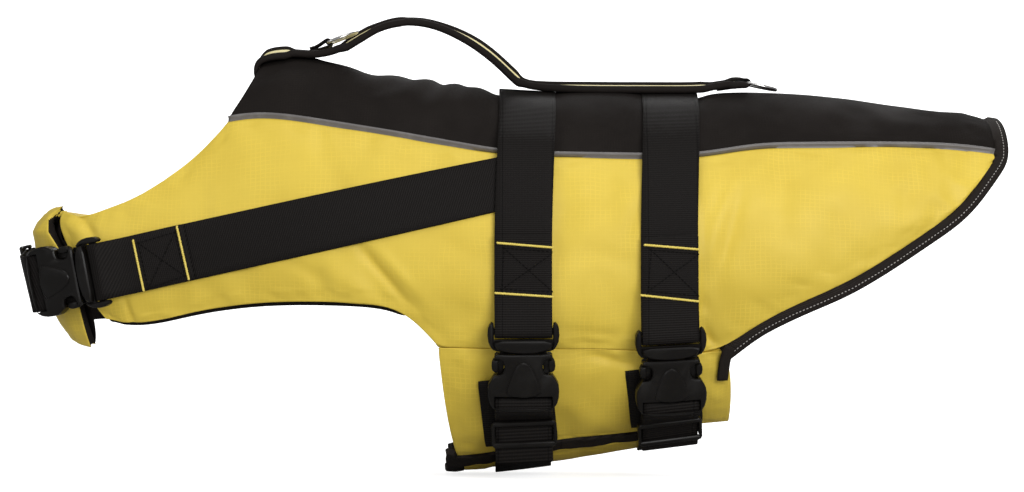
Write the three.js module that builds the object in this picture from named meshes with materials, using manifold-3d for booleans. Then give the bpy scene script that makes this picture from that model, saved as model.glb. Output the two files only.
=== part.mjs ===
// Dog life jacket in its worn form: padded panels, webbing, buckles, handle and leash rings.
// Millimetres, +X to the tail, +Z up. The girth buckles are on the near side, which is -Y.
// The origin is the lining face of the back panel on the spine, where the jacket rests on its wearer.
import * as THREE from 'three';
import Module from 'manifold-3d';
import { mergeVertices } from 'three/addons/utils/BufferGeometryUtils.js';

const wasm = await Module();
wasm.setup();

// Driving dimensions
const gap = 0.3;
const padding = 9.3;
const edgePadding = 5;
const edgeWidth = 15;
const seamDrop = 2.3;
const bellyDrop = 0.9;
const bellyDepth = 7.5;
const liningThickness = 1.4;
const liningShows = 4.5;
const liningClearance = 1.1;
const pipingRadius = 1.7;
const pipingSink = 0.9;
const bindingWidth = 7.8;
const bindingThickness = 5;
const bindingGap = 0.8;
const bindingSink = 0.6;
const bindingTailThickness = 1.6;
const bellyBindingWidth = 12.5;
const elasticThickness = 1.5;
const elasticRipple = 0.5;
const elasticBehind = 4.2;
const webbingWidth = 39;
const webbingThickness = 1.8;
const webbingLift = 0.7;
const tapeThickness = 0.8;
const tapeWidth = 50;
const handleWidth = 30;
const handleHalf = 3.1;
const handleBandHalf = 1.3;
const handleEdgeDrop = 0.6;
const loopWidth = 21;
const loopThickness = 1.4;
const loopRadius = 2.6;
const ringWire = 1.2;
const ringHalfWidth = 13;
const ringReach = 21.5;
const ringCorner = 4;
const strapDip = 2.2;
const strapDipAngle = 17;
const dipReach = 7;
const dipRamp = 6;
const strapDrift = 3;
const frontStrapX = -51;
const rearStrapX = 47.8;

const near = -1;
const far = 1;

const colours = {
  yellow: new THREE.MeshStandardMaterial({ color: 0xe4bf4e, roughness: 0.75, metalness: 0 }),
  paleYellow: new THREE.MeshStandardMaterial({ color: 0xeddc8a, roughness: 0.75, metalness: 0 }),
  blackCloth: new THREE.MeshStandardMaterial({ color: 0x26211e, roughness: 0.85, metalness: 0 }),
  grey: new THREE.MeshStandardMaterial({ color: 0x6e6967, roughness: 0.7, metalness: 0 }),
  webbing: new THREE.MeshStandardMaterial({ color: 0x231e1c, roughness: 0.7, metalness: 0 }),
  plastic: new THREE.MeshStandardMaterial({ color: 0x1c1917, roughness: 0.4, metalness: 0 }),
  steel: new THREE.MeshStandardMaterial({ color: 0xa8a8a6, roughness: 0.3, metalness: 1 }),
};

const radians = (degrees) => (degrees * Math.PI) / 180;
const mix = (a, b, share) => a + (b - a) * share;
const clamp = (value, low, high) => Math.min(Math.max(value, low), high);

function smoothStep(value) {
  const share = clamp(value, 0, 1);
  return share * share * (3 - 2 * share);
}

// A smooth curve through the rows of a table: reads one column at a value of another.
function reader(rows, across, column) {
  const slopes = rows.map((row, i) => {
    const before = rows[Math.max(i - 1, 0)];
    const after = rows[Math.min(i + 1, rows.length - 1)];
    return (after[column] - before[column]) / (after[across] - before[across]);
  });
  return (at) => {
    const value = clamp(at, rows[0][across], rows[rows.length - 1][across]);
    let i = 0;
    while (i < rows.length - 2 && value > rows[i + 1][across]) i += 1;
    const span = rows[i + 1][across] - rows[i][across];
    const t = (value - rows[i][across]) / span;
    const here = (2 * t ** 3 - 3 * t ** 2 + 1) * rows[i][column];
    const leaving = (t ** 3 - 2 * t ** 2 + t) * span * slopes[i];
    const next = (-2 * t ** 3 + 3 * t ** 2) * rows[i + 1][column];
    const arriving = (t ** 3 - t ** 2) * span * slopes[i + 1];
    return here + leaving + next + arriving;
  };
}

// The worn figure: cross sections of the outer face of the cloth.
const sections = [
  { x: -396, top: 8, middle: -112, bottom: -232, half: 80 },
  { x: -290, top: 22, middle: -109, bottom: -236, half: 80 },
  { x: -241, top: 31.5, middle: -108, bottom: -244, half: 87 },
  { x: -205, top: 33.2, middle: -108, bottom: -250, half: 93 },
  { x: -160, top: 24, middle: -110, bottom: -255, half: 98 },
  { x: -110, top: 15.6, middle: -114, bottom: -257, half: 102 },
  { x: -50, top: 10.5, middle: -114, bottom: -252, half: 104 },
  { x: 0, top: 9.3, middle: -112, bottom: -244, half: 103 },
  { x: 50, top: 9.3, middle: -109, bottom: -235, half: 100 },
  { x: 90, top: 9.3, middle: -105, bottom: -228, half: 96 },
  { x: 150, top: 6.8, middle: -97, bottom: -212, half: 88 },
  { x: 210, top: -0.5, middle: -89, bottom: -192, half: 77 },
  { x: 260, top: -6, middle: -83, bottom: -174, half: 65 },
  { x: 290, top: -10, middle: -80, bottom: -165, half: 56 },
];
const section = {
  top: reader(sections, 'x', 'top'),
  middle: reader(sections, 'x', 'middle'),
  bottom: reader(sections, 'x', 'bottom'),
  half: reader(sections, 'x', 'half'),
};

// In plan the sides turn in at the chest along a rounded square and meet at its front.
const chestStart = -290;
const chestReach = 106;
const chestHalf = 80;
const chestSquareness = 3;
const chestPlan = [{ run: 0, x: chestStart, half: chestHalf }];
for (let i = 1; i <= 400; i += 1) {
  const turn = (Math.PI / 2) * (i / 400);
  const x = chestStart - chestReach * Math.sin(turn) ** (2 / chestSquareness);
  const half = chestHalf * Math.abs(Math.cos(turn)) ** (2 / chestSquareness);
  const last = chestPlan[chestPlan.length - 1];
  chestPlan.push({ run: last.run + Math.hypot(x - last.x, half - last.half), x, half });
}
const chestLength = chestPlan[chestPlan.length - 1].run;
const chestFront = chestStart - chestLength;

// The chest front rolls in at the neckline and slopes back to its hem: how far back at each height
const chestSlant = reader([
  { z: -175, back: 34 },
  { z: -163, back: 26 },
  { z: -145, back: 15.5 },
  { z: -120, back: 8 },
  { z: -95, back: 1.5 },
  { z: -88, back: 0 },
  { z: -80, back: 3 },
  { z: -73, back: 11 },
  { z: -66, back: 22 },
], 'z', 'back');

// "run" is the distance along the side: it is x on the body, and goes on round the chest.
function plan(run) {
  if (run >= chestStart) return { x: run, half: section.half(run) };
  const distance = Math.abs(chestStart - run);
  const folded = distance <= chestLength ? distance : 2 * chestLength - distance;
  let i = 0;
  while (i < chestPlan.length - 2 && folded > chestPlan[i + 1].run) i += 1;
  const a = chestPlan[i];
  const b = chestPlan[i + 1];
  const share = (folded - a.run) / (b.run - a.run);
  const half = mix(a.half, b.half, share);
  return { x: mix(a.x, b.x, share), half: distance <= chestLength ? half : -half };
}

function runAt(x) {
  if (x >= chestStart) return x;
  const i = chestPlan.findIndex((row) => row.x <= x);
  return chestStart - chestPlan[i].run;
}

const pastFront = (x) => 2 * chestFront - runAt(x);

// A point on the figure. The angle is in degrees from the spine, below zero on the near side.
function skinPoint(run, angle) {
  const { x, half } = plan(run);
  const turn = radians(angle);
  const middle = section.middle(x);
  const height = Math.cos(turn) > 0 ? section.top(x) - middle : middle - section.bottom(x);
  const z = middle + height * Math.cos(turn);
  const ahead = clamp((chestStart - x) / chestReach, 0, 1);
  return new THREE.Vector3(x + chestSlant(z) * ahead ** 2, half * Math.sin(turn), z);
}

function skin(run, angle) {
  const along = skinPoint(run + 0.5, angle).sub(skinPoint(run - 0.5, angle));
  const down = skinPoint(run, angle + 0.25).sub(skinPoint(run, angle - 0.25));
  return {
    point: skinPoint(run, angle),
    along: along.clone().normalize(),
    down: down.clone().normalize(),
    perDegree: down.length() * 2,
    out: along.clone().cross(down).normalize(),
  };
}

const onSkin = (run, angle, lift) => {
  const at = skin(run, angle);
  return at.point.addScaledVector(at.out, lift);
};

function angleAt(run, z) {
  const { x } = plan(run);
  const middle = section.middle(x);
  const height = z > middle ? section.top(x) - middle : middle - section.bottom(x);
  return (Math.acos(clamp((z - middle) / height, -1, 1)) * 180) / Math.PI;
}

// An edge drawn through a few points of a table, read as a height at a run or as places in order.
function edge(rows) {
  const curve = new THREE.CatmullRomCurve3(
    rows.map((row) => new THREE.Vector3(row.run, row.z, 0)), false, 'centripetal',
  );
  const points = curve.getPoints(rows.length * 12);
  return {
    points,
    at(run) {
      let i = 0;
      while (i < points.length - 2 && run > points[i + 1].x) i += 1;
      const a = points[i];
      const b = points[i + 1];
      return mix(a.y, b.y, clamp((run - a.x) / (b.x - a.x), 0, 1));
    },
  };
}

// Landmarks where panels meet
const neckCorner = -257;
const flapFront = -112;
const flapRear = 82;
const tailTip = 275.5;

// Pattern lines of one side
const neckline = edge([
  { run: pastFront(-381), z: -68.5 },
  { run: chestFront, z: -71 },
  { run: runAt(-374), z: -74 },
  { run: runAt(-360), z: -78 },
  { run: runAt(-344), z: -73 },
  { run: runAt(-316), z: -63 },
  { run: -289, z: -45 },
  { run: -275, z: -33 },
  { run: -265, z: -22 },
  { run: neckCorner, z: -10 },
]);
const pipingLine = edge([
  { run: neckCorner, z: -10 },
  { run: -243, z: -7.5 },
  { run: -222, z: -8 },
  { run: -188, z: -13 },
  { run: -144, z: -20 },
  { run: -99, z: -28 },
  { run: -65, z: -33.5 },
  { run: -20, z: -35 },
  { run: 69, z: -35 },
  { run: 86, z: -32 },
  { run: 106, z: -29 },
  { run: 140, z: -28 },
  { run: 230, z: -28 },
  { run: 258, z: -30 },
  { run: tailTip, z: -32.5 },
]);
const chestEdge = edge([
  { run: pastFront(-367), z: -169 },
  { run: chestFront - 30, z: -165.5 },
  { run: chestFront, z: -159.5 },
  { run: runAt(-345), z: -149 },
  { run: runAt(-325), z: -152 },
  { run: runAt(-302), z: -150 },
  { run: -274, z: -143 },
  { run: -233, z: -137.5 },
  { run: -178, z: -137 },
  { run: -151, z: -139 },
  { run: -137, z: -143 },
  { run: -123, z: -153 },
  { run: flapFront, z: -168 },
]);
const flapSeam = edge([
  { run: flapFront, z: -168 },
  { run: -73, z: -169 },
  { run: 18, z: -170 },
  { run: 66, z: -173 },
  { run: flapRear, z: -171 },
]);
const tailEdge = edge([
  { run: flapRear, z: -171 },
  { run: 104, z: -154 },
  { run: 129, z: -141 },
  { run: 169, z: -123 },
  { run: 215, z: -94 },
  { run: 245, z: -72 },
  { run: 266, z: -46 },
  { run: tailTip, z: -33 },
]);
const flapHem = edge([
  { run: -110, z: -246 },
  { run: -78, z: -243.5 },
  { run: -31, z: -234 },
  { run: 16, z: -229.5 },
  { run: 69, z: -223.5 },
  { run: 100, z: -221 },
]);

function upperEdge(run) {
  return run < neckCorner ? neckline.at(run) : pipingLine.at(run);
}

function lowerEdge(run) {
  if (run < flapFront) return chestEdge.at(run);
  return run < flapRear ? flapSeam.at(run) : tailEdge.at(run);
}

// Front and rear edges of the back panel, by angle from the spine
const backFront = reader([
  { angle: 0, run: -237 },
  { angle: 8, run: -237 },
  { angle: 23, run: -241 },
  { angle: 35, run: -248.5 },
  { angle: 43, run: neckCorner },
], 'angle', 'run');
const backRearRows = [
  { angle: 0, run: 268.5 },
  { angle: 13.5, run: 270 },
  { angle: 27, run: 272.2 },
  { angle: 48, run: tailTip - 2.8 },
];
const backRear = reader(backRearRows, 'angle', 'run');

// The chest ends, from the neckline down. The far one reaches round the front to the near side.
const nearEnd = reader([
  { share: 0, run: runAt(-379) },
  { share: 0.2, run: runAt(-372) },
  { share: 0.48, run: runAt(-362) },
  { share: 0.85, run: runAt(-353) },
  { share: 1, run: runAt(-344) },
], 'share', 'run');
const farEnd = reader([
  { share: 0, run: pastFront(-386) },
  { share: 0.12, run: pastFront(-389.5) },
  { share: 0.25, run: pastFront(-376) },
  { share: 0.45, run: pastFront(-369) },
  { share: 0.7, run: pastFront(-366) },
  { share: 1, run: pastFront(-368) },
], 'share', 'run');

// The lining of the far chest end stands out past the yellow cloth over its lower half.
const liningPast = reader([
  { share: 0.5, past: 0 },
  { share: 0.62, past: 4 },
  { share: 0.82, past: 9 },
  { share: 1, past: -6 },
], 'share', 'past');

// The largest folds of the side panels: soft troughs from one point of the side to another.
const folds = [
  { run: -172, z: -94, toRun: -140, toZ: -138, width: 12, depth: 2.6 },
  { run: 13, z: -52, toRun: -27, toZ: -86, width: 12, depth: 2.4 },
  { run: 76, z: -70, toRun: 84, toZ: -158, width: 9, depth: 3 },
  { run: 118, z: -58, toRun: 98, toZ: -140, width: 11, depth: 2 },
];
function foldDepth(run, z) {
  let depth = 0;
  for (const fold of folds) {
    const long = new THREE.Vector2(fold.toRun - fold.run, fold.toZ - fold.z);
    const here = new THREE.Vector2(run - fold.run, z - fold.z);
    const share = clamp(here.dot(long) / long.lengthSq(), 0, 1);
    const aside = here.distanceTo(long.clone().multiplyScalar(share));
    depth += fold.depth * Math.exp(-((aside / fold.width) ** 2));
  }
  return depth;
}

// Webbing presses the foam of the back down under the handle.
const dipEdge = webbingWidth / 2 + dipReach;
const dipFlat = dipEdge - dipRamp;
function dipDepth(run, angle) {
  const across = smoothStep((strapDipAngle + 9 - Math.abs(angle)) / 9);
  const front = smoothStep((dipEdge - Math.abs(run - frontStrapX)) / dipRamp);
  const rear = smoothStep((dipEdge - Math.abs(run - rearStrapX)) / dipRamp);
  return strapDip * across * Math.max(front, rear);
}

const root = new THREE.Group();

// Makes one closed body from points and triangles, with its faces turned outwards.
function body(name, material, positions, triangles) {
  let volume = 0;
  for (const [a, b, c] of triangles) {
    volume += positions[a].dot(positions[b].clone().cross(positions[c]));
  }
  const index = triangles.flatMap(([a, b, c]) => (volume > 0 ? [a, b, c] : [a, c, b]));
  const geometry = new THREE.BufferGeometry();
  const numbers = positions.flatMap((point) => point.toArray());
  geometry.setAttribute('position', new THREE.Float32BufferAttribute(numbers, 3));
  geometry.setIndex(index);
  geometry.computeVertexNormals();
  const mesh = new THREE.Mesh(geometry, material);
  mesh.name = name;
  root.add(mesh);
  return mesh;
}

// A cloth wall. "at" gives the run and angle of a grid point, "outer" and "inner" its two depths.
function wall(name, material, columns, rows, at, outer, inner) {
  const positions = [];
  const triangles = [];
  const wide = columns.length;
  const tall = rows.length;
  for (const depth of [outer, inner]) {
    for (const column of columns) {
      for (const row of rows) {
        const { run, angle } = at(column, row);
        positions.push(onSkin(run, angle, -depth(run, angle, column, row)));
      }
    }
  }
  const number = (side, i, j) => side * wide * tall + i * tall + j;
  for (const side of [0, 1]) {
    for (let i = 0; i < wide - 1; i += 1) {
      for (let j = 0; j < tall - 1; j += 1) {
        const a = number(side, i, j);
        const b = number(side, i + 1, j);
        const c = number(side, i + 1, j + 1);
        const d = number(side, i, j + 1);
        triangles.push(...(side ? [[a, b, c], [a, c, d]] : [[a, c, b], [a, d, c]]));
      }
    }
  }
  const rim = [];
  for (let i = 0; i < wide - 1; i += 1) rim.push([i, 0]);
  for (let j = 0; j < tall - 1; j += 1) rim.push([wide - 1, j]);
  for (let i = wide - 1; i > 0; i -= 1) rim.push([i, tall - 1]);
  for (let j = tall - 1; j > 0; j -= 1) rim.push([0, j]);
  rim.forEach(([i, j], k) => {
    const [m, n] = rim[(k + 1) % rim.length];
    const a = number(0, i, j);
    const b = number(0, m, n);
    const c = number(1, m, n);
    const d = number(1, i, j);
    triangles.push([a, b, c], [a, c, d]);
  });
  return body(name, material, positions, triangles);
}

// Sweeps a section along frames, each with an origin, a side direction and an up direction.
// A frame's "bow" is how far the two edges of the section bend away from its middle.
function sweep(name, material, frames, profile, closed = false) {
  const widest = Math.max(...profile.map(([across]) => Math.abs(across)));
  const positions = frames.flatMap((frame) => profile.map(([across, up]) => {
    const point = frame.origin.clone().addScaledVector(frame.side, across).addScaledVector(frame.up, up);
    return frame.bow ? point.addScaledVector(frame.bow, (across / widest) ** 2) : point;
  }));
  const triangles = [];
  const sides = profile.length;
  const steps = closed ? frames.length : frames.length - 1;
  for (let i = 0; i < steps; i += 1) {
    const next = (i + 1) % frames.length;
    for (let j = 0; j < sides; j += 1) {
      const k = (j + 1) % sides;
      const a = i * sides + j;
      const b = i * sides + k;
      const c = next * sides + k;
      const d = next * sides + j;
      triangles.push([a, b, c], [a, c, d]);
    }
  }
  if (!closed) {
    const last = (frames.length - 1) * sides;
    for (let j = 0; j < sides / 2 - 1; j += 1) {
      const k = sides - 1 - j;
      triangles.push([j, k, j + 1], [last + j, last + j + 1, last + k]);
      if (k - 1 > j + 1) triangles.push([j + 1, k, k - 1], [last + j + 1, last + k - 1, last + k]);
    }
  }
  return body(name, material, positions, triangles);
}

function circle(radius, sides) {
  return Array.from({ length: sides }, (_, i) => {
    const turn = (2 * Math.PI * (i + 0.5)) / sides;
    return [radius * Math.cos(turn), radius * Math.sin(turn)];
  });
}

const rectangle = (left, right, low, high) => [[left, low], [right, low], [right, high], [left, high]];

// Frames along a list of points, each with its own side direction.
function frames(places, closed = false) {
  const count = places.length;
  let last = places[0].side;
  const path = places.map(({ point, side, bow }) => {
    last = side.dot(last) < 0 ? side.clone().negate() : side;
    return { point, side: last, bow };
  });
  return path.map(({ point, side, bow }, i) => {
    const before = path[closed ? (i + count - 1) % count : Math.max(i - 1, 0)].point;
    const after = path[closed ? (i + 1) % count : Math.min(i + 1, count - 1)].point;
    const into = point.clone().sub(before).normalize();
    const outOf = after.clone().sub(point).normalize();
    const tangent = into.clone().add(outOf).normalize();
    const up = side.clone().cross(tangent).normalize();
    const bend = into.lengthSq() > 0 && outOf.lengthSq() > 0 ? clamp(into.dot(outOf), -0.5, 1) : 1;
    return { origin: point, side, bow, up: up.multiplyScalar(1 / Math.sqrt((1 + bend) / 2)) };
  });
}

// Numbers spread evenly between break points: pairs of a value and the steps that follow it.
function spread(pairs) {
  const values = [];
  for (let i = 0; i < pairs.length - 1; i += 1) {
    const [from, steps] = pairs[i];
    for (let j = 0; j < steps; j += 1) values.push(mix(from, pairs[i + 1][0], j / steps));
  }
  values.push(pairs[pairs.length - 1][0]);
  return values;
}

// How far the foam has filled out at a distance from the nearest sewn edge, 0 to 1.
const filled = (distance) => smoothStep(distance / edgeWidth);
const outerDrop = (distance) => mix(seamDrop, 0, filled(distance));
const innerDepth = (distance) => mix(seamDrop + edgePadding, padding, filled(distance));

const panelRows = [0, 0.07, 0.2, 0.4, 0.62, 0.82, 0.94, 1];

// Side panels and their linings
function sidePanel(hand, label) {
  const end = hand === near ? nearEnd : farEnd;
  const firstRun = end(0);
  const blendRun = hand === near ? runAt(-330) : chestFront + 20;
  const chestSteps = hand === near ? 5 : 9;
  const lastRun = tailTip - 3.8;
  const columns = spread([
    [firstRun, 5], [blendRun, chestSteps], [neckCorner, 9], [flapFront, 10], [flapRear, 6], [200, 6],
    [lastRun],
  ]);
  const place = (column, row) => {
    const fade = column < blendRun ? (blendRun - column) / (blendRun - firstRun) : 0;
    const run = column + (end(row) - firstRun) * fade;
    const high = skin(run, angleAt(run, upperEdge(run)));
    const low = skin(run, angleAt(run, lowerEdge(run)));
    const underPiping = run > neckCorner - 1 ? pipingRadius + gap : 0;
    const top = angleAt(run, upperEdge(run)) + underPiping / high.perDegree;
    const bottom = angleAt(run, lowerEdge(run)) - (run > flapFront - 1 ? gap / 2 : 0) / low.perDegree;
    const perDegree = (high.perDegree + low.perDegree) / 2;
    return { run, top, bottom, angle: mix(top, bottom, row), perDegree };
  };
  const distance = (column, row) => {
    const { top, bottom, perDegree } = place(column, row);
    const width = (bottom - top) * perDegree;
    const fromEnd = column - firstRun;
    const fromTail = (tailTip - 1 - column) * 0.8;
    return Math.min(row * width, (1 - row) * width, fromEnd, fromTail);
  };
  const signed = (column, row) => {
    const { run, angle } = place(column, row);
    return { run, angle: hand * angle };
  };
  const fold = (run, angle) => foldDepth(run, skinPoint(run, angle).z);
  const panelOuter = (run, angle, column, row) => outerDrop(distance(column, row)) + fold(run, angle);
  const panelInner = (run, angle, column, row) => innerDepth(distance(column, row)) + fold(run, angle) / 2;
  wall(`side_panel_${label}`, colours.yellow, columns, panelRows, signed, panelOuter, panelInner);

  const liningColumns = columns.filter((run) => run < flapFront - 8);
  const liningRows = [0, 0.2, 0.4, 0.62, 0.82, 1];
  const lowered = (column, row) => {
    const spot = place(column, row);
    const extra = row === 1 ? liningShows / spot.perDegree : 0;
    const past = hand === far && column === firstRun ? liningPast(row) : 0;
    return { run: spot.run - past, angle: hand * (spot.angle + extra) };
  };
  const liningOuter = (...spot) => panelInner(...spot) + liningClearance;
  const liningInner = (...spot) => liningOuter(...spot) + liningThickness;
  wall(`lining_${label}`, colours.blackCloth, liningColumns, liningRows, lowered, liningOuter, liningInner);
}
sidePanel(near, 'near');
sidePanel(far, 'far');

// Back panel: one piece over the spine, between the two piped seams
const backLength = 500;
const backArcPerDegree = 2.1;
const backColumns = spread([
  [backFront(0), 8],
  [frontStrapX - dipEdge, 1], [frontStrapX - dipFlat, 3],
  [frontStrapX + dipFlat, 1], [frontStrapX + dipEdge, 4],
  [rearStrapX - dipEdge, 1], [rearStrapX - dipFlat, 3],
  [rearStrapX + dipFlat, 1], [rearStrapX + dipEdge, 9],
  [backRear(0)],
]).map((run) => (run - backFront(0)) / (backRear(0) - backFront(0)));
const backRows = [-1, -0.93, -0.78, -0.52, -0.24, 0, 0.24, 0.52, 0.78, 0.93, 1];
function backPlace(column, row) {
  let run = mix(backFront(0), backRear(0), column);
  let seam = 45;
  for (let pass = 0; pass < 4; pass += 1) {
    const at = skin(run, angleAt(run, pipingLine.at(run)));
    seam = angleAt(run, pipingLine.at(run)) - (pipingRadius + gap) / at.perDegree;
    const angle = Math.abs(row) * seam;
    run = mix(backFront(angle) + 0.5, backRear(angle) - 0.5, column);
  }
  return { run, angle: row * seam, seam };
}
function backDistance(column, row) {
  const { seam } = backPlace(column, row);
  const toSeam = (1 - Math.abs(row)) * seam * backArcPerDegree;
  return Math.min(toSeam, column * backLength + 3, (1 - column) * backLength);
}
// Soft ripples where the back panel's top gathers behind the neck
const ripple = { run: -135, halfRun: 34, halfAngle: 26, depth: 0.8, pitch: 6.4 };
function rippleDepth(run, angle) {
  const aside = ((run - ripple.run) / ripple.halfRun) ** 2 + (angle / ripple.halfAngle) ** 2;
  return ripple.depth * Math.exp(-aside) * (1 + Math.sin(run / ripple.pitch));
}
function backOuter(run, angle, column, row) {
  return outerDrop(backDistance(column, row)) + dipDepth(run, angle) + rippleDepth(run, angle);
}
wall('back_panel', colours.blackCloth, backColumns, backRows, backPlace, backOuter,
  (run, angle, column, row) => innerDepth(backDistance(column, row)));

// Piping: a cord in the seam between the back and each side
function piping(hand, label) {
  const path = spread([[neckCorner - 0.6, 30], [tailTip - 3.2]]).map((run) => {
    const angle = hand * angleAt(run, pipingLine.at(run));
    const at = skin(run, angle);
    return { point: onSkin(run, angle, -pipingSink), side: at.out };
  });
  sweep(`piping_${label}`, colours.grey, frames(path), circle(pipingRadius, 6));
}
piping(near, 'near');
piping(far, 'far');

// Flaps: from the seam under the side panel down to the hem
const flapFrontEdge = reader([
  { row: 0, run: flapFront },
  { row: 0.5, run: -106.5 },
  { row: 1, run: -99.5 },
], 'row', 'run');
const flapRearEdge = reader([
  { row: 0, run: flapRear - 0.8 },
  { row: 0.1, run: 86.2 },
  { row: 0.22, run: 88.2 },
  { row: 0.5, run: 89.4 },
  { row: 1, run: 89 },
], 'row', 'run');
const flapHeight = 95;
const flapLength = 190;
const flapColumns = spread([[0, 12], [1]]);
function flapPlace(column, row) {
  const run = mix(flapFrontEdge(row), flapRearEdge(row), column);
  const topAngle = angleAt(run, flapSeam.at(run));
  const top = topAngle + gap / 2 / skin(run, topAngle).perDegree;
  const bottom = angleAt(run, flapHem.at(run));
  return { run, angle: mix(top, bottom, row) };
}
function flap(hand, label) {
  const distance = (column, row) => Math.min(
    row * flapHeight, (1 - row) * flapHeight, column * flapLength, (1 - column) * flapLength,
  );
  wall(`flap_${label}`, colours.yellow, flapColumns, panelRows,
    (column, row) => {
      const { run, angle } = flapPlace(column, row);
      return { run, angle: hand * angle };
    },
    (run, angle, column, row) => outerDrop(distance(column, row)),
    (run, angle, column, row) => innerDepth(distance(column, row)));
}
flap(near, 'near');
flap(far, 'far');

// Belly panel between the two flap hems, with a binding all round
const bellyFront = -107.5;
const bellyRear = 68;
const bellyHem = (run) => angleAt(run, flapHem.at(run));
function bellyAngle(run, inset) {
  const hem = bellyHem(run);
  return hem + inset / skin(run, hem).perDegree;
}
const hemGap = 1.6;
const bellyInset = hemGap + bellyBindingWidth + gap;
const bellyColumns = spread([
  [bellyFront + bellyBindingWidth + gap, 11], [bellyRear - bellyBindingWidth - gap],
]);
const bellyRows = [-1, -0.72, -0.36, 0, 0.36, 0.72, 1];
function bellySpot(run, row) {
  const angle = mix(bellyAngle(run, bellyInset), 180, 1 - Math.abs(row));
  return { run, angle: row <= 0 ? -angle : angle };
}
wall('belly_panel', colours.yellow, bellyColumns, bellyRows, bellySpot, () => bellyDrop, () => bellyDepth);

// A strip of binding along a sewn edge: left and right of the edge, from low to high over the cloth
function strip(name, material, places, left, right, low, high) {
  const spots = places.map(({ run, angle }) => skin(run, angle));
  const path = spots.map((at, i) => {
    const before = spots[Math.max(i - 1, 0)];
    const after = spots[Math.min(i + 1, spots.length - 1)];
    const tangent = after.point.clone().sub(before.point).normalize();
    const side = tangent.clone().cross(at.out).normalize();
    return { origin: at.point, side, up: at.out };
  });
  return sweep(name, material, path, rectangle(left, right, low, high));
}

// A smooth path on the figure through places given by run and angle
function pathOnSkin(places, steps) {
  const curve = new THREE.CatmullRomCurve3(
    places.map(({ run, angle }) => new THREE.Vector3(run, angle * 1.6, 0)), false, 'centripetal',
  );
  return curve.getSpacedPoints(steps).map((p) => ({ run: p.x, angle: p.y / 1.6 }));
}

const tailSide = tailEdge.points.filter((p) => p.x < tailTip - 3)
  .filter((p, i) => i % 4 === 0)
  .map((p) => ({ run: p.x, angle: -angleAt(p.x, p.y) }));
const tailOver = backRearRows.slice(1, 3).reverse().map(({ angle, run }) => ({ run, angle: -angle }));
const tailCorner = { run: tailTip - 2.7, angle: -angleAt(tailTip, -35.5) };
const tailHalf = [...tailSide, tailCorner, ...tailOver, { run: backRearRows[0].run, angle: 0 }];
const tailOtherHalf = tailHalf.slice(0, -1).reverse().map(({ run, angle }) => ({ run, angle: -angle }));
const tailWhole = [...tailHalf, ...tailOtherHalf];
const bindingLow = -bindingSink - bindingThickness;
const bindingHigh = -bindingSink;
strip('tail_binding', colours.blackCloth, pathOnSkin(tailWhole, 62),
  bindingGap, bindingGap + bindingWidth, bindingLow, bindingHigh);

function bindingTail(hand, label) {
  const places = [
    { run: 87, z: -167 }, { run: 83.8, z: -173 }, { run: 82.8, z: -181 }, { run: 82, z: -190 },
  ];
  const path = places.map(({ run, z }) => ({ run, angle: hand * angleAt(run, z) }));
  const half = bindingWidth / 2;
  const low = bindingHigh + gap + 0.05;
  strip(`binding_tail_${label}`, colours.blackCloth, path, -half, half, low, low + bindingTailThickness);
}
bindingTail(near, 'near');
bindingTail(far, 'far');

// The belly binding: pairs of places on its inner and outer edge.
// Its front corners stand up before the flaps.
const bellyEar = { high: -4.6, run: -102.4, hemRun: -100.3 };
function bellyPlace(run, inset, hand) {
  const angle = hand * bellyAngle(run, inset);
  return { run, angle: angle > 0 ? angle - 360 : angle };
}
function bellyPairs() {
  const innerInset = hemGap + bellyBindingWidth;
  const front = { inner: bellyFront + bellyBindingWidth, outer: bellyFront };
  const rear = { inner: bellyRear - bellyBindingWidth, outer: bellyRear };
  const pairs = [];
  const long = (hand, runs) => runs.forEach((run) => pairs.push({
    inner: bellyPlace(run, innerInset, hand), outer: bellyPlace(run, hemGap, hand),
  }));
  const short = (end, fromHand) => {
    const a = bellyPlace(end.inner, innerInset, fromHand).angle;
    const b = bellyPlace(end.inner, innerInset, -fromHand).angle;
    for (const share of [0.15, 0.38, 0.62, 0.85]) {
      const angle = mix(a, b, share);
      pairs.push({ inner: { run: end.inner, angle }, outer: { run: end.outer, angle } });
    }
  };
  const corner = (end, hand) => pairs.push({
    inner: bellyPlace(end.inner, innerInset, hand),
    outer: bellyPlace(mix(end.inner, end.outer, 0.8), hemGap + bellyBindingWidth * 0.2, hand),
  });
  const frontCorner = (hand) => {
    const rows = [
      { ahead: 0.5, under: 0, run: bellyEar.hemRun, inset: hemGap },
      { ahead: -0.2, under: -0.2, run: bellyEar.run, inset: bellyEar.high },
      { ahead: 0, under: 0.5, run: front.outer, inset: bellyEar.high },
    ];
    return rows.map(({ ahead, under, run, inset }) => ({
      inner: bellyPlace(front.inner + ahead, innerInset + under, hand),
      outer: bellyPlace(run, inset, hand),
    }));
  };
  const runs = spread([[front.inner + 4, 12], [rear.inner - 4]]);
  pairs.push(...frontCorner(near).reverse());
  long(near, runs);
  corner(rear, near);
  short(rear, near);
  corner(rear, far);
  long(far, runs.slice().reverse());
  pairs.push(...frontCorner(far));
  short(front, far);
  return pairs;
}
sweep('belly_binding', colours.blackCloth, bellyPairs().map(({ inner, outer }) => {
  const at = skin(inner.run, inner.angle);
  return { origin: at.point, side: skinPoint(outer.run, outer.angle).sub(at.point), up: at.out };
}), rectangle(0, 1, bindingLow, bindingHigh), true);

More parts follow.
